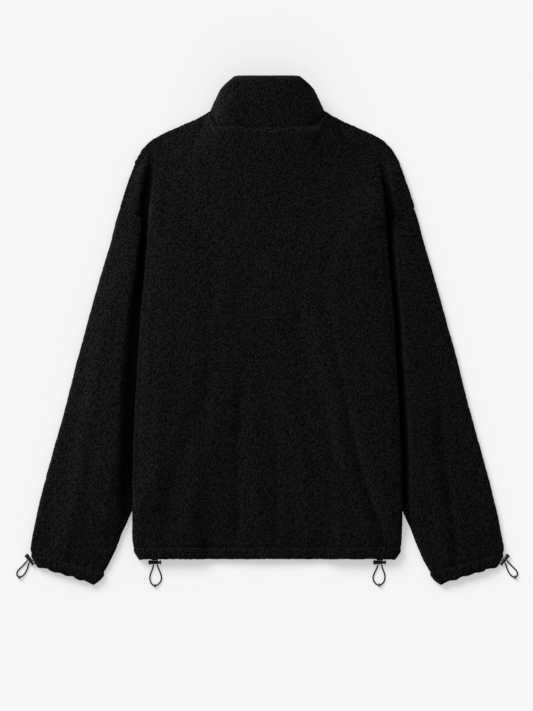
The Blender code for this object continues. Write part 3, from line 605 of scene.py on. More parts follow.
@dataclass(frozen=True)
class Finishes:
    """Every finish of the garment, built once."""

    fleece: bpy.types.Material
    binding: bpy.types.Material
    webbing: bpy.types.Material
    cord: bpy.types.Material
    plastic: bpy.types.Material
    teeth: bpy.types.Material
    metal: bpy.types.Material

    @classmethod
    def build(cls) -> Finishes:
        """Build the materials.

        Returns:
            The set of finishes.
        """
        return cls(
            fleece=PileFinish().material(),
            binding=WovenFinish(
                "collar_binding_knit", high=(0.0042, 0.0042, 0.0048), thread_scale=330.0, rib=0.8,
                depth=0.0003, specular=0.06).material(),
            webbing=WovenFinish("zip_tape_weave", thread_scale=520.0, specular=0.05).material(),
            cord=WovenFinish(
                "braided_cord", high=(0.004, 0.004, 0.0045), thread_scale=420.0, specular=0.08).material(),
            plastic=HardFinish(
                "glossy_lock_plastic", (0.002, 0.002, 0.0022), (0.012, 0.012, 0.012), (0.2, 0.5),
                specular=0.22).material(),
            teeth=HardFinish(
                "moulded_teeth", (0.008, 0.008, 0.009), (0.03, 0.03, 0.03), (0.35, 0.6),
                specular=0.12).material(),
            metal=HardFinish(
                "lacquered_metal", (0.02, 0.02, 0.022), (0.09, 0.09, 0.09), (0.25, 0.5),
                metallic=0.9, coat=0.3).material(),
        )


# ------------------------------------------------------------------ meshes


def add_mesh(
    name: str,
    points: Array,
    faces: Iterable[Iterable[int]],
    material: bpy.types.Material,
    smooth: bool = True,
) -> bpy.types.Object:
    """A named mesh object.

    Args:
        name: the piece's name.
        points: positions in metres, one a row.
        faces: point numbers of each face.
        material: its finish.
        smooth: whether it is shaded round.

    Returns:
        The object, in the scene.
    """
    mesh = bpy.data.meshes.new(name)
    mesh.from_pydata(np.asarray(points).tolist(), [], [list(map(int, f)) for f in faces])
    mesh.validate()
    mesh.update()
    if smooth:
        mesh.shade_smooth()
    mesh.materials.append(material)
    thing = bpy.data.objects.new(name, mesh)
    bpy.context.collection.objects.link(thing)
    return thing


def settle(
    piece: bpy.types.Object,
    body: str = GARMENT,
    replaces: tuple[str, ...] = (),
) -> bpy.types.Object:
    """Give a piece its body and the nodes that it stands for, and report it.

    Args:
        piece: the object.
        body: the body that it rides on.
        replaces: nodes that it stands for.

    Returns:
        The same object.
    """
    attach(piece, body)
    if replaces:
        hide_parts(*replaces)
    LOG.info("%s: %d points, rides on %s", piece.name, len(getattr(piece.data, "vertices", ())), body)
    return piece


def lathe(outline: Table, sides: int) -> tuple[Array, list[list[int]]]:
    """A round shape about X.

    Args:
        outline: rows of (along, radius); a radius of 0 closes an end.
        sides: faces round it.

    Returns:
        Its points in millimetres and its faces.
    """
    points: list[tuple[float, float, float]] = []
    rings: list[list[int]] = []
    for along, radius in outline:
        count = sides if radius > 0.0 else 1
        turns = 2.0 * np.pi * np.arange(count) / count
        start = len(points)
        points += [(along, radius * math.cos(t), radius * math.sin(t)) for t in turns]
        rings.append([start + i % count for i in range(sides)])
    faces = []
    for first, second in zip(rings, rings[1:]):
        for i in range(sides):
            j = (i + 1) % sides
            corners = [first[i], first[j], second[j], second[i]]
            face = [c for n, c in enumerate(corners) if c not in corners[:n]]
            if len(face) > 2:
                faces.append(face)
    return np.array(points), faces


def along_line(points: Array, centre: Array, ahead: Array) -> Array:
    """World places of a turned shape whose X runs along a level direction.

    Args:
        points: the turned shape's points in millimetres.
        centre: where its middle goes, in metres.
        ahead: the direction of its X, level and of any length.

    Returns:
        The points in metres.
    """
    ahead = ahead / np.linalg.norm(ahead)
    sideways = np.array([-ahead[1], ahead[0], 0.0])
    upward = np.array([0.0, 0.0, 1.0])
    return centre + MM * (points[:, :1] * ahead + points[:, 1:2] * sideways + points[:, 2:] * upward)


def grid_faces(number: Array) -> Array:
    """The four-cornered faces of a grid of point numbers."""
    return np.stack([number[:-1, :-1], number[1:, :-1], number[1:, 1:], number[:-1, 1:]], -1).reshape(-1, 4)


def rounded(outline: Table, radius: float = 0.35, steps: int = 3) -> Table:
    """An outline whose corners are rounded.

    Args:
        outline: rows of (along, radius).
        radius: how far from each corner the rounding starts.
        steps: points that each corner gets, less one.

    Returns:
        The new rows.
    """
    rows = [np.array(r) for r in outline]
    result = [tuple(rows[0])]
    for before, corner, after in zip(rows, rows[1:], rows[2:]):
        back, ahead = before - corner, after - corner
        reach = min(radius, 0.45 * np.linalg.norm(back), 0.45 * np.linalg.norm(ahead))
        start = corner + back / np.linalg.norm(back) * reach
        end = corner + ahead / np.linalg.norm(ahead) * reach
        for step in range(steps + 1):
            t = step / steps
            result.append(tuple((1 - t) ** 2 * start + 2 * t * (1 - t) * corner + t * t * end))
    result.append(tuple(rows[-1]))
    return tuple((float(a), float(max(0.0, b))) for a, b in result)


@dataclass
class Patch:
    """A grid of a cloth's middle surface, whose rows run down the garment."""

    across: Array
    down: Array
    height: Array
    relief: Array | float = 0.0
    pile: Array | float = 1.0
    flip: bool = False


@dataclass
class ClothShell:
    """A thin shell of cloth over joined patches, with pile on its outer side.

    The inner side is there wherever it can be seen: near every free edge, or all over.
    """

    name: str
    wall: float = 3.0
    clump: float = 4.6
    clump_height: float = 0.95
    lean: float = 2.2
    lean_cell: float = 9.0
    sway_height: float = 0.7
    sway_cell: float = 21.0
    seed: int = 1
    inner_rings: int = 6
    edge_share: float = 0.6
    second_share: float = 0.9
    edge_fluff: float = 1.2
    fluff_reach: float = 1.3
    lowest: float = 0.00002
    downwards: bool = False
    patches: list[Patch] = field(default_factory=list)

    def pile_height(self, across: Array, down: Array) -> Array:
        """Height in millimetres that the pile adds at places on the cloth.

        Args:
            across: distances from the centre line.
            down: distances below the collar's top edge.

        Returns:
            The height at each place.
        """
        lean = self.lean * (drift(across, down, self.lean_cell, self.seed + 40) - 0.5)
        fine = clumps(across + lean, down - lean, self.clump, self.seed)
        sway = drift(across, down, self.sway_cell, self.seed + 9) - 0.5
        return self.clump_height * (fine - 0.45) + self.sway_height * sway

    def joined(self) -> tuple[Array, Array, Array, Array]:
        """The patches as one surface: tape points, relief, pile share and faces.

        Returns:
            The points, their relief, their share of pile, and the faces.
        """
        tape, relief, pile, faces = [], [], [], []
        start = 0
        for patch in self.patches:
            across, down, height, rise, share = np.broadcast_arrays(
                patch.across, patch.down, patch.height, patch.relief, patch.pile)
            rows, columns = across.shape
            number = start + np.arange(rows * columns).reshape(rows, columns)
            cells = grid_faces(number)
            faces.append(cells[:, ::-1] if patch.flip != self.downwards else cells)
            tape.append(np.stack([across, down, height], -1).reshape(-1, 3))
            relief.append(np.ravel(rise))
            pile.append(np.ravel(share))
            start += rows * columns
        points = np.concatenate(tape)
        _, first, joint = np.unique(np.round(points * 50.0), axis=0, return_index=True, return_inverse=True)
        joint = joint.reshape(-1)
        quads = joint[np.concatenate(faces)]
        return points[first], np.concatenate(relief)[first], np.concatenate(pile)[first], quads

    def build(self, material: bpy.types.Material) -> bpy.types.Object:
        """Make the shell's object.

        Args:
            material: the cloth's finish.

        Returns:
            The object.
        """
        tape, relief, pile, quads = self.joined()
        middle = place(tape[:, 0], tape[:, 1], tape[:, 2])
        count = len(middle)
        corners = [middle[quads[:, i]] for i in range(4)]
        across_cell = np.cross(corners[2] - corners[0], corners[3] - corners[1])
        normals = np.zeros_like(middle)
        for corner in range(4):
            np.add.at(normals, quads[:, corner], across_cell)
        normals /= np.maximum(np.linalg.norm(normals, axis=1, keepdims=True), 1e-12)
        pairs = np.concatenate([quads[:, [i, (i + 1) % 4]] for i in range(4)])
        key = pairs.min(1) * count + pairs.max(1)
        _, where, uses = np.unique(key, return_inverse=True, return_counts=True)
        free = pairs[(uses[where.reshape(-1)] == 1) & (pairs[:, 0] != pairs[:, 1])]
        ring = np.full(count, ALL_RINGS + 1)
        ring[free.reshape(-1)] = 0
        for step in range(1, self.inner_rings + 1):
            touched = quads[(ring[quads] < step).any(1)].reshape(-1)
            ring[touched] = np.minimum(ring[touched], step)
        near_edge = np.where(ring == 1, self.second_share, 1.0)
        half = self.wall / 2.0 * np.where(ring == 0, self.edge_share, near_edge)
        fluff = self.pile_height(tape[:, 0], tape[:, 1])
        rise = half + relief + pile * fluff
        outward = np.zeros_like(middle)
        for end in (0, 1):
            along = middle[free[:, 1]] - middle[free[:, 0]]
            np.add.at(outward, free[:, end], np.cross(along, normals[free[:, end]]))
        outward /= np.maximum(np.linalg.norm(outward, axis=1, keepdims=True), 1e-12)
        tuft = pile * (self.edge_fluff + self.fluff_reach * fluff)
        middle = middle + outward * (tuft * MM)[:, None]
        outer = middle + normals * (rise * MM)[:, None]
        inner = middle - normals * (half * MM)[:, None]
        kept = quads[(ring[quads] <= self.inner_rings).all(1)]
        rim = np.stack([free[:, 1], free[:, 0], free[:, 0] + count, free[:, 1] + count], -1)
        faces = np.concatenate([quads, kept[:, ::-1] + count, rim])
        points = np.concatenate([outer, inner])
        points[:, 2] = np.maximum(points[:, 2], self.lowest)
        used = np.unique(faces)
        renumber = np.zeros(len(points), dtype=int)
        renumber[used] = np.arange(len(used))
        return add_mesh(self.name, points[used], renumber[faces], material)


# ------------------------------------------------------------------ the body as it lies


@dataclass(frozen=True)
class Lay:
    """Sizes of the body and the heights at which its layers lie."""

    wall: float = 3.0
    pitch: float = 3.6
    seam: float = 0.4
    sleeve_height: float = 9.0
    layer_gap: float = 0.6
    hem_down: float = 771.0
    casing: float = 18.0
    groove_depth: float = 1.7
    neck_across: float = 91.0
    neck_side_down: float = 57.0
    back_neck_down: float = 83.0
    front_neck_drop: float = 85.0
    shoulder_across: float = 172.0
    level_down: float = 165.0
    armhole_row_down: float = 237.0
    armhole_outer: tuple[float, float] = (234.5, 209.0)
    armhole_inner: tuple[float, float] = (66.0, 310.0)
    shoulder_bend_down: float = 134.0
    zip_edge: float = 4.6
    loft: float = 4.0
    zip_ridge: float = 2.6
    neck_hollow: float = 29.0
    neck_side_rise: float = 6.5
    neck_side_reach: tuple[float, float] = (55.0, 70.0)
    ridge_width: float = 42.0
    hollow_reach: float = 62.0
    inner_tuck_share: float = 118.0 / 172.0
    back_neck: Table = ((0.0, 83.0), (40.0, 82.4), (66.0, 81.0), (80.0, 77.5), (91.0, 57.0))
    shoulder: Table = (
        (91.0, 57.0), (114.0, 70.0), (150.0, 85.6), (182.0, 101.6), (198.5, 117.6), (208.0, 134.0),
    )
    shoulder_end: Table = ((134.0, 208.0), (150.0, 214.4), (166.0, 220.0), (182.0, 225.6), (209.0, 234.5))
    body_edge_line: Table = (
        (96.0, 172.0), (142.0, 180.0), (165.0, 184.5), (230.0, 190.0), (310.0, 196.5), (390.0, 203.5),
        (470.0, 208.5), (550.0, 213.0), (630.0, 215.5), (738.0, 215.8), (752.0, 214.5), (762.0, 211.0),
        (771.0, 205.0),
    )
    sleeve_inner: Table = (
        (310.0, 66.0), (400.0, 98.0), (470.0, 124.0), (540.0, 152.5), (610.0, 181.0), (660.0, 202.0),
        (697.0, 217.0), (726.0, 230.5), (742.0, 236.5), (758.0, 243.2), (774.0, 250.4), (790.0, 258.4),
        (803.0, 266.0), (811.0, 276.0),
    )
    tuck_share: Table = ((233.0, 0.22), (270.0, 0.62), (310.0, 0.9), (400.0, 1.0), (771.0, 1.0))
    folds: tuple[Fold, ...] = (
        (((440.0, -44.0), (518.0, -64.0), (598.0, -92.0), (662.0, -112.0), (740.0, -132.0)), 21.0, 3.2),
        (((500.0, -98.0), (598.0, -134.0), (690.0, -160.0)), 14.0, -1.2),
        (((470.0, -42.0), (598.0, -46.0), (745.0, -48.0)), 8.0, -2.6),
        (((500.0, -20.0), (600.0, -17.0), (745.0, -13.0)), 12.0, 2.2),
        (((560.0, 10.0), (660.0, 15.0), (745.0, 14.0)), 6.5, -2.4),
        (((500.0, 33.0), (630.0, 58.0), (745.0, 72.0)), 14.0, 2.8),
        (((422.0, 82.0), (518.0, 105.0), (614.0, 128.0), (720.0, 158.0)), 12.0, 3.0),
        (((422.0, 106.0), (518.0, 125.0), (630.0, 150.0), (730.0, 184.0)), 7.5, -3.6),
        (((470.0, -168.0), (600.0, -174.0), (700.0, -176.0)), 13.0, 1.8),
        (((290.0, 10.0), (350.0, 2.0), (420.0, 20.0)), 10.0, 1.4),
        (((290.0, 60.0), (400.0, 52.0), (480.0, 60.0)), 12.0, -1.6),
        (((330.0, -70.0), (430.0, -62.0), (500.0, -84.0)), 12.0, 1.5),
        (((180.0, 70.0), (230.0, 40.0), (300.0, 24.0)), 16.0, 1.2),
    )

    @property
    def fold_radius(self) -> float:
        """Radius of the outer layer where it turns under."""
        return 1.5 * self.pitch

    def fold_across(self, down: Array) -> Array:
        """Where the body's top layer starts to turn under."""
        return read(self.body_edge_line, down) - self.wall / 2.0 - self.fold_radius

    def tuck_across(self, inward: Array, down: Array) -> Array:
        """Distance from the centre line at a share of the tucked strip, from its fold inwards."""
        tucked = (1.0 - self.inner_tuck_share) * read(self.tuck_share, down)
        return self.fold_across(down) * (1.0 - inward * tucked)

    def armhole_down(self, across: Array) -> Array:
        """Row of the armhole seam at a distance from the centre line."""
        (outer, outer_down), (inner, inner_down) = self.armhole_outer, self.armhole_inner
        return mix(outer_down, inner_down, (outer - across) / (outer - inner))

    def sleeve_rise(self, across: Array, down: Array) -> Array:
        """Lift of the body over the sleeve that lies under it.

        Args:
            across: distances from the centre line.
            down: distances below the collar's top edge.

        Returns:
            The lift in millimetres.
        """
        side = np.abs(across)
        past_armhole = ramp(down - self.armhole_down(side), -112.0, -8.0)
        past_inner_edge = ramp(side - read(self.sleeve_inner, down), -50.0, -8.0)
        before_hem = 1.0 - ramp(down, 696.0, 760.0)
        return (self.sleeve_height + self.layer_gap) * past_armhole * past_inner_edge * before_hem

    def strip_rise(self, across: Array, down: Array) -> Array:
        """Lift of the body over its own tucked strips.

        Args:
            across: distances from the centre line.
            down: distances below the collar's top edge.

        Returns:
            The lift in millimetres.
        """
        inner_end = self.tuck_across(1.0, down)
        from_armhole = ramp(down, 140.0, self.armhole_row_down)
        return 2.0 * self.pitch * from_armhole * ramp(np.abs(across) - inner_end, -48.0, -18.0)

    def front_height(self, across: Array, down: Array) -> Array:
        """Middle of the fronts' wall above the surface.

        Args:
            across: distances from the centre line.
            down: distances below the collar's top edge.

        Returns:
            The height in millimetres.
        """
        wide, long = self.neck_side_reach
        beside_neck = bell(np.abs(across) - self.neck_across, wide) * bell(down - self.neck_side_down, long)
        clear_of_zip = ramp(np.abs(across), 18.0, 60.0)
        rise = self.sleeve_rise(across, down) + self.strip_rise(across, down)
        return self.wall / 2.0 + rise + self.neck_side_rise * beside_neck * clear_of_zip

    def back_height(self, across: Array, down: Array) -> Array:
        """Middle of the back's wall above the surface.

        Args:
            across: distances from the centre line.
            down: distances below the collar's top edge.

        Returns:
            The height in millimetres.
        """
        side = np.abs(across)
        below_seam = ramp(down - read(self.shoulder, side), 0.0, 60.0)
        inside_edge = ramp(read(self.body_edge_line, down) - side, 4.0, 42.0)
        before_hem = 1.0 - 0.7 * ramp(down, 715.0, 765.0)
        loft = self.loft * below_seam * inside_edge * before_hem
        ridge = self.zip_ridge * bell(across, self.ridge_width)
        hollow_width = self.neck_across + 0.5 * np.maximum(0.0, down - self.neck_side_down)
        hollow = np.maximum(0.0, 1.0 - (side / hollow_width) ** 3)
        fade = bell(np.maximum(0.0, down - self.back_neck_down), self.hollow_reach)
        highest = np.maximum(ridge, self.neck_hollow * hollow * fade)
        return self.front_height(across, down) + self.pitch + loft + highest

    def under_height(self, across: Array, down: Array) -> Array:
        """Middle of the lowest layer at the body's sides."""
        beside_wing = ramp(down, self.armhole_row_down - 30.0, self.armhole_row_down - 10.0)
        return self.wall / 2.0 + self.sleeve_rise(across, down) * beside_wing

    def casing_relief(self, across: Array, down: Array) -> Array:
        """Height of the hem casing with its seam's groove and its gathers.

        Args:
            across: distances from the centre line.
            down: distances below the collar's top edge.

        Returns:
            The relief in millimetres.
        """
        seam = self.hem_down - self.casing
        casing = ramp(down, seam, seam + 5.0)
        groove = bell(down - seam, 1.9)
        wander = across + 5.0 * np.sin(across / 31.0)
        broad = wander / 5.4
        above = 0.5 * bell(down - seam + 7.0, 9.0) * np.cos(broad + 0.6)
        return gathered(casing, broad, wander / 2.9 + 1.0) - self.groove_depth * groove + above


class Panel(Enum):
    """A layer of the body."""

    BACK = 0
    FRONT = 1


@dataclass
class BodyPanel:
    """A panel of the body: its face, its turned edges, its tucked strips and drop shoulders."""

    lay: Lay
    panel: Panel
    step: float = 2.3
    wing_steps: int = 17
    arc_steps: int = 6
    left_crown: float = 10.0
    right_crown: float = 6.0
    rows_above: int = 5
    crease_rows: tuple[float, float] = (126.0, 172.0)
    crease_gap: float = 2.2
    corner_lap: float = 1.2
    crease_height: float = 5.2
    wing_rows: Table = ((165.0, 5.0), (186.0, 6.0), (209.0, 7.0), (237.0, 8.0))

    @property
    def reach(self) -> float:
        """How far this layer's fold reaches past the place where it starts."""
        return self.lay.fold_radius - self.panel.value * self.lay.pitch

    def surface(self, across: Array, down: Array) -> Array:
        """Middle height of this layer."""
        back = self.panel is Panel.BACK
        return self.lay.back_height(across, down) if back else self.lay.front_height(across, down)

    def neck(self, across: Array) -> Array:
        """Row of this panel's neck seam.

        Args:
            across: distances from the centre line.

        Returns:
            The rows, as distances down.
        """
        if self.panel is Panel.BACK:
            return read(self.lay.back_neck, np.abs(across))
        share = np.minimum(1.0, np.abs(across) / self.lay.neck_across)
        return self.lay.neck_side_down + self.lay.front_neck_drop * np.sqrt(1.0 - share**2.2)

    def top_edge(self, across: Array) -> Array:
        """Row of the upper edge: the neck seam, then the shoulder seam."""
        side = np.abs(across)
        return np.where(side < self.lay.neck_across, self.neck(side), read(self.lay.shoulder, side))

    def rows(self) -> tuple[Array, Array]:
        """Rows above the level line as shares from the top edge, and the downs of those below it.

        Returns:
            The shares, and the distances down.
        """
        above = np.linspace(0.0, 1.0, int(100.0 / self.step) + 1)
        lay = self.lay
        below = np.concatenate([
            np.linspace(lay.level_down, lay.armhole_row_down, int(68.0 / self.step) + 1)[1:],
            np.linspace(lay.armhole_row_down, lay.hem_down, int(538.0 / self.step) + 1)[1:],
        ])
        return above, below

    def spots(self, stops: Array, beyond: float = 0.0) -> tuple[Array, Array]:
        """Across and down of every row at some columns.

        Args:
            stops: columns, as distances from the centre line on the shoulder.
            beyond: what the points lie beyond their columns.

        Returns:
            Arrays of across and down, one row a line.
        """
        above, below = self.rows()
        share = stops / self.lay.shoulder_across
        upper = stops + beyond
        lower = share * self.lay.fold_across(self.lay.level_down) + beyond
        step = above[:, None]
        across = mix(upper, lower, step)
        down = mix(self.top_edge(np.abs(upper)), self.lay.level_down, step)
        down_below = np.repeat(below[:, None], len(stops), 1)
        across_below = share * self.lay.fold_across(below)[:, None] + beyond
        return np.concatenate([across, across_below]), np.concatenate([down, down_below])

    def columns(self) -> Array:
        """Columns from the centre line to the fold.

        Returns:
            The columns, as distances from the centre line on the shoulder.
        """
        neck, end = self.lay.neck_across, self.lay.shoulder_across
        first = np.linspace(0.0, neck, int(neck / self.step * 1.12) + 1)
        second = np.linspace(neck, end, int((end - neck) / self.step * 1.12) + 1)
        return np.concatenate([first, second[1:]])

    def edge(self) -> tuple[Array, Array, Array]:
        """The fold's first quarter turn on the right side: across, down and height of its points.

        Returns:
            Arrays of across, down and height, one row a line.
        """
        lay = self.lay
        turns = np.linspace(0.0, np.pi / 2.0, self.arc_steps)
        above, _ = self.rows()
        base_across, base_down = self.spots(np.array([lay.shoulder_across]))
        columns = [self.spots(np.array([lay.shoulder_across]), self.reach * math.sin(t)) for t in turns]
        across = np.concatenate([c[0] for c in columns], 1)
        down = np.concatenate([c[1] for c in columns], 1)
        upper = np.arange(len(across))[:, None] < len(above)
        top = np.where(upper, self.surface(across, down), self.surface(base_across, base_down))
        low = lay.under_height(across, down) + self.panel.value * lay.pitch
        stepped = ramp(down, *self.crease_rows)
        drop = 1.0 - np.cos(turns)[None, :]
        return across, down, top - stepped * drop * np.maximum(0.0, top - low) / 2.0

    def strip(self, edge: tuple[Array, Array, Array]) -> Patch:
        """The tucked strip on the right side, from the fold's outermost line inwards.

        Args:
            edge: the fold's first quarter turn.

        Returns:
            The patch.
        """
        lay = self.lay
        first = int(np.argmin(np.abs(edge[1][:, -1] - lay.armhole_row_down)))
        down = edge[1][first:, -1:]
        bend = lay.fold_across(down)
        height = self.surface(bend, down)
        low = lay.under_height(bend, down) + self.panel.value * lay.pitch
        radius = (height - low) / 2.0
        turns = np.linspace(np.pi / 2.0, np.pi, self.arc_steps)[None, :]
        arc_across = bend + self.reach * np.sin(turns)
        arc_height = low + radius * (1.0 + np.cos(turns))
        arc_across[:, 0], arc_height[:, 0] = edge[0][first:, -1], edge[2][first:, -1]
        inward = np.linspace(0.0, 1.0, 12)[None, 1:]
        flat_across = lay.tuck_across(inward, down)
        flat_height = lay.under_height(flat_across, down) + self.panel.value * lay.pitch
        across = np.concatenate([arc_across, flat_across], 1)
        pile = np.concatenate([np.cos(turns) * 0.6 + 0.6, np.zeros((1, inward.size))], 1)
        height = np.concatenate([arc_height, flat_height], 1)
        return Patch(across, np.broadcast_to(down, across.shape), height, 0.0, np.clip(pile, 0.0, 1.0))

    def wing(self, edge: tuple[Array, Array, Array], peak: float) -> Patch:
        """The drop shoulder on the right side, from the body's edge to the armhole seam.

        Args:
            edge: the fold's first quarter turn.
            peak: height of the ridge beside the crease.

        Returns:
            The patch.
        """
        lay = self.lay
        last = int(np.argmin(np.abs(edge[1][:, -1] - lay.armhole_row_down)))
        above, _ = self.rows()
        beyond = self.reach + self.crease_gap
        inner_across, inner_down = self.spots(np.array([lay.shoulder_across]), beyond)
        inner_across, inner_down = inner_across[:last + 1], inner_down[:last + 1]
        level = np.interp(inner_down[:, 0], *np.array(self.wing_rows).T)
        level[:len(above)] = above * self.rows_above
        number = level[:, None]
        outer_down = mix(lay.shoulder_bend_down, lay.armhole_outer[1], number / self.wing_rows[-1][1])
        outer_across = read(lay.shoulder_end, outer_down)
        share = np.linspace(0.0, 1.0, self.wing_steps)[None, :]
        across = mix(inner_across, outer_across, share)
        on_seam = np.maximum(0.0, 1.0 - number)
        down = mix(mix(inner_down, outer_down, share), read(lay.shoulder, across), on_seam)
        down = down + self.corner_lap * (1.0 - share) * ramp(number, 7.5, 8.0)
        back = self.panel is Panel.BACK
        seam_height = lay.sleeve_height - lay.wall / 2.0
        lifted = mix(self.crease_height, seam_height - 2.4, ramp(number, 5.5, 8.0))
        inner_height = lifted if back else lay.wall / 2.0
        outer_height = lay.wall / 2.0 + (lay.pitch if back else 0.0)
        start = mix(edge[2][:last + 1, -1:], inner_height, ramp(inner_down, *self.crease_rows))
        height = mix(start, outer_height, ramp(share, 0.0, 1.0))
        if back:
            crown = peak * ramp(share, 0.14, 0.45) * (1.0 - 0.9 * ramp(share, 0.42, 1.0))
            height = height + crown * ramp(number, 0.5, 3.5)
        grid = [np.concatenate([e[:last + 1, -1:], g], 1) for e, g in zip(edge, (across, down, height))]
        return Patch(*grid)

    def side_patches(self, side: Side) -> list[Patch]:
        """The fold's edge, the tucked strip and the drop shoulder of one side.

        Args:
            side: the side to make.

        Returns:
            The three patches.
        """
        edge = self.edge()
        relief = self.lay.casing_relief(edge[0], edge[1]) * (self.panel is Panel.BACK)
        turned = Patch(*edge, relief=relief)
        peak = self.left_crown if side is Side.LEFT else self.right_crown
        patches = [turned, self.strip(edge), self.wing(edge, peak)]
        for patch in patches:
            patch.across = patch.across * side.value
            patch.flip = side is Side.LEFT
        return patches


@dataclass
class BackPanel(BodyPanel):
    """The back, which is what the garment shows."""

    panel: Panel = Panel.BACK
    step: float = 2.25
    net: float = 6.0
    rounds: int = 2600
    tautness: float = 0.85
    edge_roll: float = 6.0
    roll_off: float = 3.2
    seam_drop: float = 2.2
    neck_bulge: float = 3.0
    neck_pucker: float = 1.1
    _span: tuple[Array, Array, Array] | None = None

    @staticmethod
    def beside(knots: Array) -> Array:
        """The sum of the four neighbours of each inner knot."""
        return knots[:-2, 1:-1] + knots[2:, 1:-1] + knots[1:-1, :-2] + knots[1:-1, 2:]

    def stretched(self) -> tuple[Array, Array, Array]:
        """How far the cloth, taut over what lies below it, clears the troughs there.

        Returns:
            The net's columns and rows, and the clearance at its knots.
        """
        if self._span is None:
            lay = self.lay
            columns = np.arange(-228.0, 229.0, self.net)
            rows = np.arange(30.0, 790.0, self.net)
            across, down = np.meshgrid(columns, rows)
            side = np.abs(across)
            resting = lay.back_height(across, down)
            free = (side < read(lay.body_edge_line, down) - 12.0) & (down > self.top_edge(side) + 8.0)
            free = free & (down < 755.0)
            height = resting.copy()
            for _ in range(self.rounds):
                around = self.beside(height) / 4.0
                low = resting[1:-1, 1:-1]
                height[1:-1, 1:-1] = np.where(free[1:-1, 1:-1], np.maximum(around, low), low)
            clear = self.tautness * (height - resting)
            for _ in range(6):
                clear = (self.beside(np.pad(clear, 1)) + 2.0 * clear) / 6.0
            self._span = (columns, rows, clear)
        return self._span

    def clearance(self, across: Array, down: Array) -> Array:
        """The taut cloth's extra height at places on the back.

        Args:
            across: distances from the centre line.
            down: distances below the collar's top edge.

        Returns:
            The height in millimetres.
        """
        columns, rows, clear = self.stretched()
        u = np.clip((across - columns[0]) / self.net, 0.0, len(columns) - 1.001)
        v = np.clip((down - rows[0]) / self.net, 0.0, len(rows) - 1.001)
        i, j = np.floor(u).astype(int), np.floor(v).astype(int)
        su, sv = u - i, v - j
        upper = mix(clear[j, i], clear[j, i + 1], su)
        lower = mix(clear[j + 1, i], clear[j + 1, i + 1], su)
        return mix(upper, lower, sv)

    def surface(self, across: Array, down: Array) -> Array:
        """Middle height of the back: taut over what lies below, with its soft folds.

        Args:
            across: distances from the centre line.
            down: distances below the collar's top edge.

        Returns:
            The height in millimetres.
        """
        lay = self.lay
        folds = soft_folds(lay.folds, across, down)
        to_edge = read(lay.body_edge_line, down) - np.abs(across)
        inside = ramp(to_edge, 4.0, 30.0) * (1.0 - 0.7 * ramp(down, 720.0, 765.0))
        roll = self.edge_roll * bell(to_edge - 6.0, 17.0)
        roll = roll * ramp(down, 112.0, 160.0) * (1.0 - ramp(down, 205.0, 260.0))
        off = ramp(down, 120.0, 160.0) * (1.0 - ramp(to_edge, 3.0, 17.0))
        off = off * (1.0 - 0.8 * ramp(down, 690.0, 760.0))
        below_seam = down - read(lay.shoulder, np.abs(across))
        beside_neck = ramp(np.abs(across), lay.neck_across, lay.neck_across + 12.0)
        seam_off = (1.0 - ramp(below_seam, 0.0, 13.0)) * beside_neck
        resting = lay.back_height(across, down) + self.clearance(across, down)
        return resting + folds * inside + roll - self.roll_off * off - self.seam_drop * seam_off

    def shape(self) -> ClothShell:
        """The back's shell: its face and both sides.

        Returns:
            The shell, not yet a mesh.
        """
        right = self.columns()
        stops = np.concatenate([-right[:0:-1], right])
        across, down = self.spots(stops)
        lay = self.lay
        relief = lay.casing_relief(across, down)
        below_neck = down - self.neck(np.clip(across, -lay.neck_across, lay.neck_across))
        beside_neck = np.maximum(0.0, np.abs(across) - lay.neck_across + 3.0)
        relief = relief + self.neck_bulge * bell(below_neck - 9.0, 7.5) * bell(beside_neck, 10.0)
        narrowing = 17.0 - 0.9 * np.clip(down - 84.0, 0.0, 14.0)
        relief = relief + self.neck_pucker * bell(across - 1.0, narrowing) * bell(down - 94.0, 7.0)
        patches = [Patch(across, down, self.surface(across, down), relief)]
        for side in Side:
            patches += self.side_patches(side)
        return ClothShell("fleece_back", seed=3, patches=patches)

    def dress(self, finishes: Finishes) -> bpy.types.Object:
        """Build the back."""
        return settle(self.shape().build(finishes.fleece), replaces=("back",))


@dataclass
class FrontPanel(BodyPanel):
    """One front, which lies face down with the zip at its edge."""

    side: Side = Side.LEFT
    panel: Panel = Panel.FRONT
    step: float = 4.2
    wing_steps: int = 10
    pressed_pile: float = 0.12

    def shape(self) -> ClothShell:
        """The front's shell, with its pile pressed on the surface below.

        Returns:
            The shell, not yet a mesh.
        """
        stops = self.columns()
        across, down = self.spots(stops)
        across[:, 0] = self.lay.zip_edge
        height = self.surface(across, down)
        face = Patch(across * self.side.value, down, height, flip=self.side is Side.LEFT)
        patches = [face, *self.side_patches(self.side)]
        for patch in patches:
            patch.pile = self.pressed_pile
        name = f"fleece_front_{self.side.word}"
        return ClothShell(name, seed=11, downwards=True, inner_rings=3, patches=patches)

    def dress(self, finishes: Finishes) -> bpy.types.Object:
        """Build the front."""
        shell = self.shape().build(finishes.fleece)
        return settle(shell, replaces=(f"front_{self.side.word}",))


# ------------------------------------------------------------------ sleeves


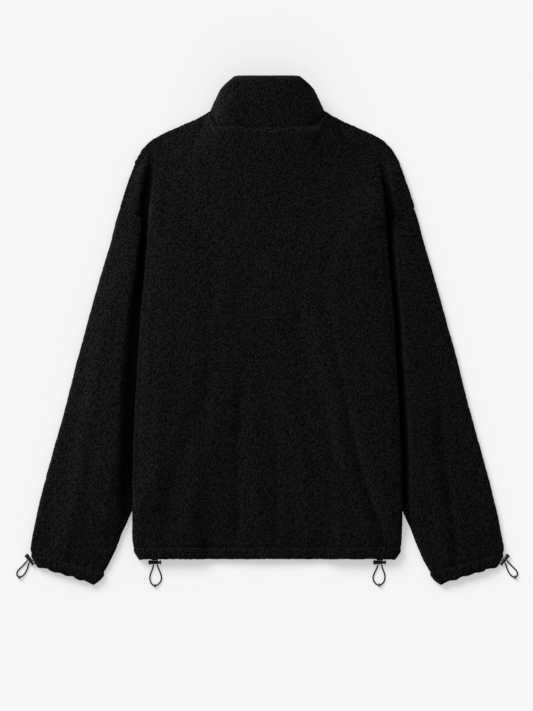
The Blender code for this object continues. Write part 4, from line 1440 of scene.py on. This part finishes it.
@dataclass
class Sleeve:
    """One sleeve, a flattened tube from the armhole seam to the gathered cuff."""

    lay: Lay
    side: Side
    step: float = 2.3
    crown: float = 4.0
    trough_depth: float = 3.5
    trough_width: float = 11.0
    left_width: float = 22.0
    right_width: float = 14.0
    left_flank: float = 14.0
    right_flank: float = 7.0
    casing_rows: tuple[float, float] = (0.966, 0.974)
    groove_row: float = 0.964
    groove_depth: float = 1.4
    broad_gathers: float = 17.0
    fine_gathers: float = 31.0
    cuff_waves: float = 9.0
    outer_line: Table = (
        (209.0, 234.5), (230.0, 241.6), (262.0, 249.6), (326.0, 268.5), (390.0, 286.4), (454.0, 304.0),
        (518.0, 320.0), (582.0, 337.6), (646.0, 355.2), (694.0, 367.2), (726.0, 373.6), (750.0, 378.0),
        (763.0, 378.2), (773.0, 373.6), (783.0, 367.4),
    )
    left_folds: tuple[Fold, ...] = (
        (((330.0, -243.0), (358.0, -250.0), (438.0, -270.0), (518.0, -282.0), (598.0, -296.0),
          (678.0, -306.0), (742.0, -320.0)), 14.0, 4.2),
        (((700.0, -348.0), (742.0, -350.0)), 13.0, -4.0),
        (((560.0, -236.0), (640.0, -247.0), (740.0, -262.0)), 9.0, 2.0),
    )
    right_folds: tuple[Fold, ...] = (
        (((518.0, 274.0), (646.0, 288.0), (774.0, 305.0)), 7.5, -3.0),
        (((566.0, 258.0), (678.0, 272.0), (774.0, 288.0)), 10.0, 2.6),
        (((330.0, 262.0), (438.0, 288.0), (598.0, 322.0), (700.0, 345.0)), 16.0, 2.2),
    )

    def lie(self, across: Array, down: Array) -> Array:
        """Height of the sleeve's folds and of the trough beside the body's edge.

        Args:
            across: distances from the centre line.
            down: distances below the collar's top edge.

        Returns:
            The height in millimetres.
        """
        left = self.side is Side.LEFT
        folds = self.left_folds if left else self.right_folds
        wide = self.left_width if left else self.right_width
        raised = self.left_flank if left else self.right_flank
        beside = np.abs(across) - read(self.lay.body_edge_line, down)
        width = mix(self.trough_width, wide, ramp(down, 200.0, 480.0))
        flank = ramp(beside, 0.5 * width, 1.2 * width)
        flank = flank * (1.0 - 0.75 * ramp(beside, 1.3 * width, 3.0 * width + 40.0))
        trough = raised * flank - self.trough_depth * bell(beside, width)
        reach = ramp(down, 190.0, 226.0) * (1.0 - ramp(down, 690.0, 760.0))
        return soft_folds(folds, across, down) + trough * reach

    def shape(self) -> ClothShell:
        """The sleeve's shell: over its upper layer inwards, and back below.

        Returns:
            The shell, not yet a mesh.
        """
        lay = self.lay
        along = np.linspace(0.0, 1.0, int(600.0 / self.step))[:, None]
        outer_down = mix(lay.armhole_outer[1] + lay.seam, self.outer_line[-1][0], along)
        inner_down = mix(lay.armhole_inner[1] + lay.seam, lay.sleeve_inner[-1][0], along)
        outer = np.concatenate([read(self.outer_line, outer_down), outer_down], 1)
        inner = np.concatenate([read(lay.sleeve_inner, inner_down), inner_down], 1)
        width = np.linalg.norm(inner - outer, axis=1, keepdims=True)
        inward = (inner - outer) / width
        turned = np.where(inward[:, :1] < 0.0, 1.0, -1.0)
        lengthwise = np.stack([-inward[:, 1], inward[:, 0]], 1) * turned
        radius = (lay.sleeve_height - lay.wall) / 2.0
        middle = lay.sleeve_height / 2.0
        bend = radius + lay.wall / 2.0
        turns = np.radians(np.linspace(-90.0, 90.0, 7))[None, :]
        tops = np.linspace(0.0, 1.0, int(175.0 / self.step))[None, 1:-1]
        unders = np.linspace(1.0, 0.0, 12)[None, 1:-1]
        flat = width - 2.0 * bend
        crown = self.crown * np.sin(np.pi * tops) ** 0.7
        crown = crown * ramp(along, 0.0, 0.12) * (1.0 - 0.7 * ramp(along, 0.9, 1.0))
        rows = 0.0 * width
        parts = [
            (bend - radius * np.cos(turns) + rows, middle + radius * np.sin(turns) + rows, 1.0),
            (bend + flat * tops, middle + radius + crown, 1.0),
            (width - bend + radius * np.cos(-turns), middle + radius * np.sin(-turns) + rows, 1.0),
            (bend + flat * unders, middle - radius + rows * unders, 0.0),
        ]
        distance = np.concatenate([p[0] for p in parts], 1)
        height = np.concatenate([p[1] for p in parts], 1)
        shown = np.concatenate([np.full(p[0].shape, p[2]) for p in parts], 1)
        share = distance / width
        casing = ramp(along, *self.casing_rows)
        groove = bell(along - self.groove_row, 0.004)
        wave = 0.9 * casing * ramp(along, 0.985, 1.0) * np.sin(self.cuff_waves * np.pi * share)
        spot = outer[:, None, :] + inward[:, None, :] * distance[..., None]
        spot = spot - lengthwise[:, None, :] * wave[..., None]
        upper = shown * np.sin(np.pi * np.clip(share, 0.0, 1.0)) ** 0.5 * (height > middle + 0.9 * radius)
        upper = upper * (1.0 - ramp(along, 0.93, 0.99)) * mix(0.6, 1.0, ramp(along, 0.0, 0.06))
        height = height + upper * self.lie(self.side.value * spot[..., 0], spot[..., 1])
        height = np.where(upper > 0.0, np.maximum(height, middle + radius - 3.0), height)
        broad, fine = self.broad_gathers * np.pi * share, self.fine_gathers * np.pi * share
        above = 0.5 * bell(along - 0.95, 0.014) * np.cos(broad + 0.6)
        relief = shown * (gathered(casing, broad, fine) - self.groove_depth * groove + above)
        across = self.side.value * spot[..., 0]
        grid = [np.concatenate([g, g[:, :1]], 1) for g in (across, spot[..., 1], height, relief, shown)]
        patch = Patch(*grid, flip=self.side is Side.RIGHT)
        name = f"fleece_sleeve_{self.side.word}"
        return ClothShell(name, seed=21 + self.side.value, inner_rings=9, patches=[patch])

    def dress(self, finishes: Finishes) -> bpy.types.Object:
        """Build the sleeve."""
        shell = self.shape().build(finishes.fleece)
        return settle(shell, replaces=(f"sleeve_{self.side.word}",))


# ------------------------------------------------------------------ collar


@dataclass
class Collar:
    """The stand collar and the binding round its top edge."""

    lay: Lay
    back: BackPanel
    front: FrontPanel
    top_across: float = 74.0
    side_down: float = 22.0
    front_down: float = 59.0
    back_top: Table = (
        (0.0, 0.0), (45.0, 0.0), (51.7, 1.0), (54.2, 2.6), (58.0, 5.8), (63.7, 10.6), (68.7, 15.4),
        (74.0, 22.0),
    )
    top_middle: float = 25.0
    top_half_depth: float = 23.5
    bulge: float = 4.0
    binding_share: float = 0.065
    inset: float = 0.6
    steps: int = 220
    rows: int = 44

    def foot(self, turn: Array) -> Array:
        """Foot of the collar at angles from the back's middle, as across, down and height.

        Args:
            turn: angles round the neck.

        Returns:
            One point a row.
        """
        lay = self.lay
        across = lay.neck_across * np.sin(turn)
        behind = np.cos(turn) >= 0.0
        back_down, front_down = self.back.neck(across), self.front.neck(across)
        down = np.where(behind, back_down, front_down)
        on_back, on_front = lay.back_height(across, back_down), lay.front_height(across, front_down)
        beside = lay.neck_side_down
        side = (lay.back_height(across, beside) + lay.front_height(across, beside)) / 2.0
        height = mix(side, np.where(behind, on_back, on_front), ramp(np.abs(np.cos(turn)), 0.0, 0.35))
        inset = (lay.neck_across - self.inset) / lay.neck_across
        return np.stack([across * inset, down + 0.3, height], -1)

    def head(self, turn: Array) -> Array:
        """Top edge of the collar at angles from the back's middle.

        Args:
            turn: angles round the neck.

        Returns:
            Across, down and height, one point a row.
        """
        sine = np.sin(turn)
        across = self.top_across * np.sign(sine) * np.abs(sine) ** 0.86
        share = np.minimum(1.0, np.abs(across) / self.top_across)
        back_down = read(self.back_top, np.abs(across))
        front_down = mix(self.side_down, self.front_down, np.sqrt(np.maximum(0.0, 1.0 - share**3)))
        behind = np.cos(turn) >= 0.0
        height = self.top_middle + self.top_half_depth * np.cos(turn)
        low = mix(self.lay.wall / 2.0, height, ramp(np.abs(across), 17.0, 45.0))
        down = np.where(behind, back_down, front_down)
        return np.stack([across, down, np.where(behind, height, low)], -1)

    def patch(self, low: float, high: float, rows: int) -> Patch:
        """A band round the collar between two shares of its height, open at the zip.

        Args:
            low: share of the height at the band's foot.
            high: share at its top.
            rows: points up the band.

        Returns:
            The patch.
        """
        end = np.pi - math.asin((self.lay.zip_edge + 0.2) / self.lay.neck_across)
        turn = np.linspace(-end, end, self.steps)
        foot, head = self.foot(turn), self.head(turn)
        share = mix(high, low, np.linspace(0.0, 1.0, rows)[:, None])
        spot = mix(foot[None], head[None], share[..., None])
        bulge = self.bulge * np.sin(np.pi * share) * ramp(np.cos(turn), -0.2, 0.9)
        across = spot[..., 0].copy()
        across[:, 0], across[:, -1] = -self.lay.zip_edge, self.lay.zip_edge
        height = np.maximum(self.lay.wall / 2.0, spot[..., 2] + bulge)
        pile = mix(0.35, 1.0, ramp(np.cos(turn), -0.6, 0.2))[None, :] + 0.0 * share
        return Patch(across, spot[..., 1], height, 0.0, pile)

    def dress(self, finishes: Finishes) -> tuple[bpy.types.Object, bpy.types.Object]:
        """Build the collar and its binding.

        Args:
            finishes: the garment's materials.

        Returns:
            The collar and the binding.
        """
        seam = 1.0 - self.binding_share
        wall = [self.patch(0.0, seam, self.rows)]
        shell = ClothShell(
            "fleece_collar", seed=31, inner_rings=ALL_RINGS, clump_height=1.0, sway_height=0.6, patches=wall)
        band = self.patch(seam, 1.0, 6)
        band.pile = 0.0
        edge = ClothShell("smooth_collar_binding", seed=33, inner_rings=ALL_RINGS, patches=[band])
        collar = settle(shell.build(finishes.fleece), replaces=("collar",))
        binding = settle(edge.build(finishes.binding), replaces=("collar_binding",))
        return collar, binding


# ------------------------------------------------------------------ zip


@dataclass
class ZipFastener:
    """The separating zip: woven tapes, moulded teeth, slider and pull tab."""

    tape_width: float = 13.0
    tape_low: float = 3.3
    tape_thickness: float = 0.8
    tape_inner: float = 3.2
    top_down: float = 66.0
    chain_top_down: float = 75.0
    box_top_down: float = 759.5
    foot_down: float = 769.0
    tooth_pitch: float = 2.6
    chain_thickness: float = 1.6
    box_half: float = 6.0
    tooth_length: float = 2.75
    tooth_face_share: float = 0.86
    box_face_share: float = 0.93
    strand_rate: float = 2.4
    strand_height: float = 0.06
    tooth_gap: float = 0.1
    bevel: float = 0.22
    box_bevel: float = 0.25

    def tape(self, side: Side, finishes: Finishes) -> bpy.types.Object:
        """One tape, a thin woven strip with a fuller edge at the teeth.

        Args:
            side: which tape.
            finishes: the garment's materials.

        Returns:
            The tape.
        """
        across = np.linspace(self.tape_inner, self.tape_inner + self.tape_width, 14)
        down = np.linspace(self.top_down, self.box_top_down - 0.3, 150)[:, None]
        height = self.tape_low + 0.5 * self.tape_thickness
        cords = self.strand_height * np.cos(across * self.strand_rate)[None, :]
        patch = Patch(side.value * across[None, :], down, height, cords, 0.0, flip=side is Side.LEFT)
        name = f"zip_tape_woven_{side.word}"
        shell = ClothShell(name, wall=0.62, inner_rings=ALL_RINGS, edge_share=0.8, patches=[patch])
        return settle(shell.build(finishes.webbing), replaces=(f"zip_tape_{side.word}",))

    def tooth(self) -> tuple[Array, Array]:
        """One moulded tooth about its root: its points in millimetres and its faces.

        Returns:
            The points and the faces.
        """
        half = ((0.0, 0.62), (1.6, 0.62), (2.1, 0.95), (self.tooth_length, 0.75))
        outline = np.array([(x, -y) for x, y in half] + list(half[::-1]))
        count = len(outline)
        top, bevel = self.chain_thickness, self.bevel
        face = self.tooth_face_share
        layers = [(0.0, face), (bevel, 1.0), (top - bevel, 1.0), (top, face)]
        centre = outline.mean(0)
        points = [(*(centre + (p - centre) * scale), z) for z, scale in layers for p in outline]
        faces: list[list[int]] = [list(range(count))[::-1], [3 * count + i for i in range(count)]]
        for layer in range(3):
            for i in range(count):
                j = (i + 1) % count
                below, over = layer * count, (layer + 1) * count
                faces.append([below + i, below + j, over + j, over + i])
        return np.array(points), faces

    def teeth(self, finishes: Finishes) -> bpy.types.Object:
        """The closed chain of interlocked teeth, with the retainer box at its foot.

        Args:
            finishes: the garment's materials.

        Returns:
            The chain.
        """
        shape, shape_faces = self.tooth()
        points, faces, start = [], [], 0
        for sign, shift in ((-1.0, 0.0), (1.0, 0.5)):
            first = self.chain_top_down + 1.2 + shift * self.tooth_pitch
            for down in np.arange(first, self.box_top_down - 1.0, self.tooth_pitch):
                across = sign * (shape[:, 0] - self.tooth_length) - sign * self.tooth_gap
                world = place(-across, down + shape[:, 1], self.tape_low + shape[:, 2])
                points.append(world)
                faces += [[start + i for i in (f if sign > 0 else f[::-1])] for f in shape_faces]
                start += len(world)
        half, top, foot = self.box_half, self.box_top_down, self.foot_down
        box = np.array([
            (-half, top), (half, top), (half, foot - 1.0), (half - 1.0, foot), (1.0 - half, foot),
            (-half, foot - 1.0),
        ])
        low, high = self.tape_low, self.tape_low + self.chain_thickness
        middle, bevel, face = box.mean(0), self.box_bevel, self.box_face_share
        for height, shrink in ((low, face), (low + bevel, 1.0), (high - bevel, 1.0), (high, face)):
            points.append(place(*(middle + (box - middle) * shrink).T, height))
        count = len(box)
        faces += [[start + i for i in range(count)], [start + 3 * count + i for i in range(count)][::-1]]
        for layer in range(3):
            for i in range(count):
                j = (i + 1) % count
                faces.append([start + layer * count + i, start + (layer + 1) * count + i,
                              start + (layer + 1) * count + j, start + layer * count + j])
        piece = add_mesh("zip_teeth", np.concatenate(points), faces, finishes.teeth, smooth=False)
        return settle(piece, replaces=("zip_chain",))

    def dress(self, frame: dict, finishes: Finishes) -> list[bpy.types.Object]:
        """Build the zip and finish its slider and pull tab.

        Args:
            frame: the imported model.
            finishes: the garment's materials.

        Returns:
            The left and the right tape.
        """
        tapes = [self.tape(side, finishes) for side in Side]
        self.teeth(finishes)
        for node in ("zip_slider", "zip_pull_tab"):
            refinish(frame, node, finishes.metal)
        return tapes


def refinish(frame: dict, node: str, material: bpy.types.Material) -> None:
    """Give a carried-over node its finish.

    Args:
        frame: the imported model.
        node: the node's name.
        material: its finish.
    """
    thing = frame["nodes"][node]
    if not thing.material_slots:
        thing.data.materials.append(material)
    for slot in thing.material_slots:
        slot.material = material
    LOG.info("%s: node kept, finish %s", node, material.name)


# ------------------------------------------------------------------ cord locks


def smooth_route(points: Array, spacing: float, per_span: int = 12, fewest: int = 9) -> Array:
    """Evenly spaced points on a smooth curve through a route's points.

    Args:
        points: the route, one point a row.
        spacing: wanted distance between the new points.
        per_span: steps of the curve between two points of the route.
        fewest: least number of new points.

    Returns:
        The new points.
    """
    padded = np.concatenate([points[:1], points, points[-1:]])
    t = np.linspace(0.0, 1.0, per_span, endpoint=False)[:, None]
    dense = []
    for p0, p1, p2, p3 in zip(padded, padded[1:], padded[2:], padded[3:]):
        curve = 2.0 * p1 + (p2 - p0) * t + (2.0 * p0 - 5.0 * p1 + 4.0 * p2 - p3) * t**2
        dense.append(0.5 * (curve + (3.0 * p1 - p0 - 3.0 * p2 + p3) * t**3))
    dense.append(points[-1:])
    line = np.concatenate(dense)
    run = np.concatenate([[0.0], np.cumsum(np.linalg.norm(np.diff(line, axis=0), axis=1))])
    marks = np.linspace(0.0, run[-1], max(fewest, round(run[-1] / spacing) + 1))
    return np.stack([np.interp(marks, run, line[:, i]) for i in range(3)], 1)


@dataclass
class CordLock:
    """A barrel cord lock with its button, the cord's loop through it and the crimp at the tip."""

    name: str
    middle: tuple[float, float]
    axis: tuple[float, float]
    route: tuple[tuple[float, float, float], ...]
    height: float = 3.85
    cord_radius: float = 1.2
    sides: int = 40
    crimp_length: float = 2.8
    crimp_inner: float = 2.0
    crimp_outer: float = 2.7
    housing_outline: Table = (
        (-10.3, 0.0), (-10.3, 2.2), (-9.5, 3.3), (-8.2, 3.7), (-6.9, 3.3), (-6.0, 3.1), (2.6, 3.1),
        (3.6, 3.5), (5.0, 3.5), (5.0, 2.5), (-3.9, 2.5), (-3.9, 0.0),
    )
    button_outline: Table = (
        (-0.5, 0.0), (-0.5, 2.1), (8.3, 2.1), (8.3, 3.2), (9.2, 3.7), (10.2, 2.9), (10.5, 0.0),
    )
    cord_step: float = 0.45
    cord_sides: int = 24
    braid_rate: float = 2.6
    lowest: float = 0.00003

    def turned(self, name: str, outline: Table, material: bpy.types.Material) -> bpy.types.Object:
        """A round piece of the lock, set on its barrel's line.

        Args:
            name: the piece's name.
            outline: rows of (along, radius) on the barrel's line.
            material: its finish.

        Returns:
            The piece.
        """
        points, faces = lathe(rounded(outline), self.sides)
        ahead = np.array([self.axis[0], -self.axis[1], 0.0])
        world = along_line(points, place(*self.middle, self.height), ahead)
        return add_mesh(name, world, faces, material)

    def centreline(self) -> Array:
        """The cord's points in millimetres on the tape."""
        steps = np.array(self.route)
        return np.column_stack([self.middle[0] + steps[:, 0], self.middle[1] + steps[:, 1], steps[:, 2]])

    def cord(self, finishes: Finishes) -> tuple[bpy.types.Object, Array]:
        """The braided cord as a tube whose strands cross over its surface.

        Args:
            finishes: the garment's materials.

        Returns:
            The cord, and its centre line's points in metres.
        """
        line = smooth_route(self.centreline(), self.cord_step)
        world = place(line[:, 0], line[:, 1], line[:, 2])
        ahead = np.gradient(world, axis=0)
        ahead /= np.linalg.norm(ahead, axis=1, keepdims=True)
        sideways = np.cross(np.array([0.0, 0.0, 1.0]), ahead)
        sideways /= np.linalg.norm(sideways, axis=1, keepdims=True)
        upward = np.cross(ahead, sideways)
        around = self.cord_sides
        turn = 2.0 * np.pi * np.arange(around) / around
        run = np.arange(len(world))[:, None] * self.cord_step * self.braid_rate
        braid = np.maximum(np.cos(4.0 * turn + run), np.cos(4.0 * turn - run))
        radius = (self.cord_radius * (0.97 + 0.05 * braid) * MM)[..., None]
        cosine, sine = np.cos(turn)[None, :, None], np.sin(turn)[None, :, None]
        tube = world[:, None] + radius * (cosine * sideways[:, None] + sine * upward[:, None])
        tube[..., 2] = np.maximum(tube[..., 2], self.lowest)
        number = np.arange(len(world) * around).reshape(len(world), around)
        wrap = np.concatenate([number, number[:, :1]], 1)
        faces = grid_faces(wrap).tolist()
        faces += [number[0].tolist(), number[-1][::-1].tolist()]
        piece = add_mesh(f"braided_cord_{self.name}", tube.reshape(-1, 3), faces, finishes.cord)
        return piece, world

    def crimp(self, world: Array, finishes: Finishes) -> bpy.types.Object:
        """The ring that joins the cord's ends at the loop's tip.

        Args:
            world: the cord's centre line in metres.
            finishes: the garment's materials.

        Returns:
            The crimp.
        """
        half, inner, outer = self.crimp_length / 2.0, self.crimp_inner, self.crimp_outer
        outline = ((-half, inner), (-half, outer), (half, outer), (half, inner), (-half, inner))
        points, faces = lathe(outline, 32)
        middle = range(len(world) // 4, 3 * len(world) // 4)
        tip = max(middle, key=lambda i: world[i, 2])
        ahead = world[tip + 3] - world[tip - 3]
        ahead[2] = 0.0
        spots = along_line(points, world[tip], ahead)
        return add_mesh(f"crimp_{self.name}", spots, faces, finishes.metal)

    def dress(self, finishes: Finishes) -> None:
        """Build the lock with its button, cord and crimp.

        Args:
            finishes: the garment's materials.
        """
        cord, world = self.cord(finishes)
        settle(cord, replaces=(f"cord_loop_{self.name}",))
        crimp = settle(self.crimp(world, finishes), replaces=(f"cord_crimp_{self.name}",))
        housing = self.turned(f"lock_barrel_{self.name}", self.housing_outline, finishes.plastic)
        settle(housing, replaces=(f"cord_lock_{self.name}",))
        button = self.turned(f"lock_press_{self.name}", self.button_outline, finishes.plastic)
        settle(button, body=f"button_{self.name}", replaces=(f"lock_button_{self.name}",))


@dataclass
class HemTab:
    """The small cloth tab at the hem that a cord lock hangs from."""

    side: Side
    middle: float = 180.0
    half_width: float = 4.9
    top_down: float = 771.35
    foot_down: float = 774.4
    height: float = 3.85
    thickness: float = 3.0
    pile: float = 0.1

    def dress(self, finishes: Finishes) -> bpy.types.Object:
        """Build the tab as a soft pad of fleece.

        Args:
            finishes: the garment's materials.

        Returns:
            The tab.
        """
        across = np.linspace(-self.half_width, self.half_width, 12)[None, :]
        down = np.linspace(self.top_down, self.foot_down, 5)[:, None]
        patch = Patch(self.side.value * self.middle + across, down, self.height, 0.0, self.pile)
        name = f"lock_tab_{self.side.word}"
        shell = ClothShell(name, wall=self.thickness, inner_rings=ALL_RINGS, patches=[patch])
        return settle(shell.build(finishes.fleece), replaces=(f"cord_tab_{self.side.word}",))


HEM_LOOP_LEFT = (
    (-1.9, 4.0, 3.2), (-3.2, 8.8, 2.0), (-5.0, 13.6, 1.35), (-7.0, 19.0, 1.25), (-7.9, 24.5, 1.25),
    (-7.2, 30.0, 1.4), (-4.4, 35.0, 2.2), (0.0, 37.4, 2.8), (4.8, 35.6, 2.2), (8.8, 31.4, 1.4),
    (10.6, 26.0, 1.25), (9.9, 20.0, 1.25), (7.8, 14.0, 1.35), (5.6, 9.0, 2.0), (4.2, 4.0, 3.2),
)
HEM_LOOP_RIGHT = (
    (-2.6, 4.0, 3.2), (-4.3, 9.0, 2.0), (-6.9, 14.4, 1.35), (-9.4, 19.8, 1.25), (-10.4, 25.4, 1.25),
    (-8.7, 31.0, 1.4), (-5.0, 34.9, 2.2), (-0.4, 36.4, 2.8), (4.0, 34.4, 2.2), (7.3, 29.9, 1.4),
    (8.6, 24.2, 1.25), (7.8, 18.2, 1.25), (5.9, 12.8, 1.35), (4.3, 8.4, 2.0), (3.2, 4.0, 3.2),
)
CUFF_LOOP = (
    (3.9, 1.4, 3.2), (7.9, 6.1, 1.9), (12.6, 11.2, 1.3), (17.4, 15.8, 1.25), (20.4, 20.4, 1.5),
    (20.2, 25.2, 2.2), (16.6, 28.0, 2.9), (11.9, 26.4, 2.2), (7.9, 22.2, 1.4), (5.0, 16.6, 1.25),
    (2.9, 10.9, 1.8), (1.35, 5.5, 3.2),
)


def cord_locks() -> list[CordLock]:
    """The four cord locks: two at the hem and one at each cuff.

    Returns:
        The locks.
    """
    locks = [
        CordLock("hem_left", (-180.0, 777.9), (1.0, 0.0), HEM_LOOP_LEFT),
        CordLock("hem_right", (180.0, 777.9), (1.0, 0.0), HEM_LOOP_RIGHT),
    ]
    for side in Side:
        s = side.value
        loop = tuple((s * x, d, z) for x, d, z in CUFF_LOOP)
        locks.append(CordLock(f"cuff_{side.word}", (s * 380.2, 773.6), (-0.6 * s, 0.8), loop))
    return locks


# ------------------------------------------------------------------ studio


@dataclass
class Studio:
    """A camera straight above, a pale floor and soft light from the upper left."""

    frame_height: float = 1.1376
    centre: tuple[float, float] = (-0.0011, -0.0404)
    distance: float = 10.0
    sensor: float = 36.0
    garment_level: float = 0.012
    floor_tone: float = 0.5
    floor_glow: float = 0.385
    floor_grain: float = 0.004
    floor_half: float = 12.0
    sun_strength: float = 2.75
    sun_angle: float = 32.0
    sun_heading: tuple[float, float, float] = (0.72, -0.95, -0.85)
    side_place: tuple[float, float, float] = (-1.7, 0.9, 1.05)
    side_size: float = 0.9
    side_power: float = 95.0
    world_strength: float = 0.56

    def camera(self) -> None:
        """Make the camera, looking straight down at the photograph's scale."""
        data = bpy.data.cameras.new("camera")
        data.sensor_width = self.sensor
        data.lens = self.sensor / 2.0 * self.distance / (self.frame_height / 2.0)
        data.clip_start, data.clip_end = 0.1, 60.0
        thing = bpy.data.objects.new("camera", data)
        thing.location = (*self.centre, self.distance + self.garment_level)
        bpy.context.collection.objects.link(thing)
        bpy.context.scene.camera = thing

    def floor(self) -> None:
        """Lay the pale floor."""
        material, graph, shader, spot = new_material("pale_floor")
        grain = graph.add("TexNoise", {"Vector": spot, "Scale": 3.0, "Detail": 1.0})
        tone = self.floor_tone
        lighter = tone + self.floor_grain
        colour = graph.blend(grain.outputs["Fac"], (tone, tone, tone, 1.0), (lighter, lighter, lighter, 1.0))
        graph.tree.links.new(colour, shader.inputs["Base Color"])
        shader.inputs["Roughness"].default_value = 0.9
        shader.inputs["Specular IOR Level"].default_value = 0.0
        shader.inputs["Emission Color"].default_value = (1.0, 1.0, 1.0, 1.0)
        shader.inputs["Emission Strength"].default_value = self.floor_glow
        half = self.floor_half
        corners = np.array([(-half, -half, 0.0), (half, -half, 0.0), (half, half, 0.0), (-half, half, 0.0)])
        add_mesh("pale_floor", corners, [(0, 1, 2, 3)], material, smooth=False)

    def lights(self) -> None:
        """Set a broad soft sun at the upper left and an even pale surround."""
        data = bpy.data.lights.new("window_light", "SUN")
        data.energy = self.sun_strength
        data.angle = math.radians(self.sun_angle)
        thing = bpy.data.objects.new("window_light", data)
        thing.rotation_euler = Vector(self.sun_heading).to_track_quat("-Z", "Y").to_euler()
        bpy.context.collection.objects.link(thing)
        side = bpy.data.lights.new("side_light", "AREA")
        side.size, side.energy = self.side_size, self.side_power
        lamp = bpy.data.objects.new("side_light", side)
        lamp.location = self.side_place
        lamp.rotation_euler = (-Vector(self.side_place)).to_track_quat("-Z", "Y").to_euler()
        bpy.context.collection.objects.link(lamp)
        unlit = bpy.data.collections.new("floor_without_side_light")
        unlit.objects.link(bpy.data.objects["pale_floor"])
        lamp.light_linking.receiver_collection = unlit
        unlit.collection_objects[0].light_linking.link_state = "EXCLUDE"
        world = bpy.data.worlds.new("pale_surround")
        world.use_nodes = True
        background = world.node_tree.nodes["Background"]
        background.inputs["Color"].default_value = (1.0, 1.0, 1.0, 1.0)
        background.inputs["Strength"].default_value = self.world_strength
        bpy.context.scene.world = world
        bpy.context.scene.view_settings.view_transform = "Standard"

    def build(self) -> None:
        """Set up the whole studio."""
        self.camera()
        self.floor()
        self.lights()


# ------------------------------------------------------------------ the whole garment


def main() -> None:
    """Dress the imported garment."""
    logging.basicConfig(level=logging.INFO, format="%(name)s: %(message)s")
    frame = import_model()
    Studio().build()
    finishes = Finishes.build()
    for lock in cord_locks():
        lock.dress(finishes)
    lay = Lay()
    back = BackPanel(lay)
    fronts = {side: FrontPanel(lay, side=side) for side in Side}
    pieces = {"back": back.dress(finishes)}
    for side in Side:
        pieces[f"front_{side.word}"] = fronts[side].dress(finishes)
        pieces[f"sleeve_{side.word}"] = Sleeve(lay, side).dress(finishes)
        pieces[f"tab_{side.word}"] = HemTab(side).dress(finishes)
    pieces["collar"], pieces["binding"] = Collar(lay, back, fronts[Side.LEFT]).dress(finishes)
    pieces["tape_left"], pieces["tape_right"] = ZipFastener().dress(frame, finishes)


if __name__ == "__main__":
    main()
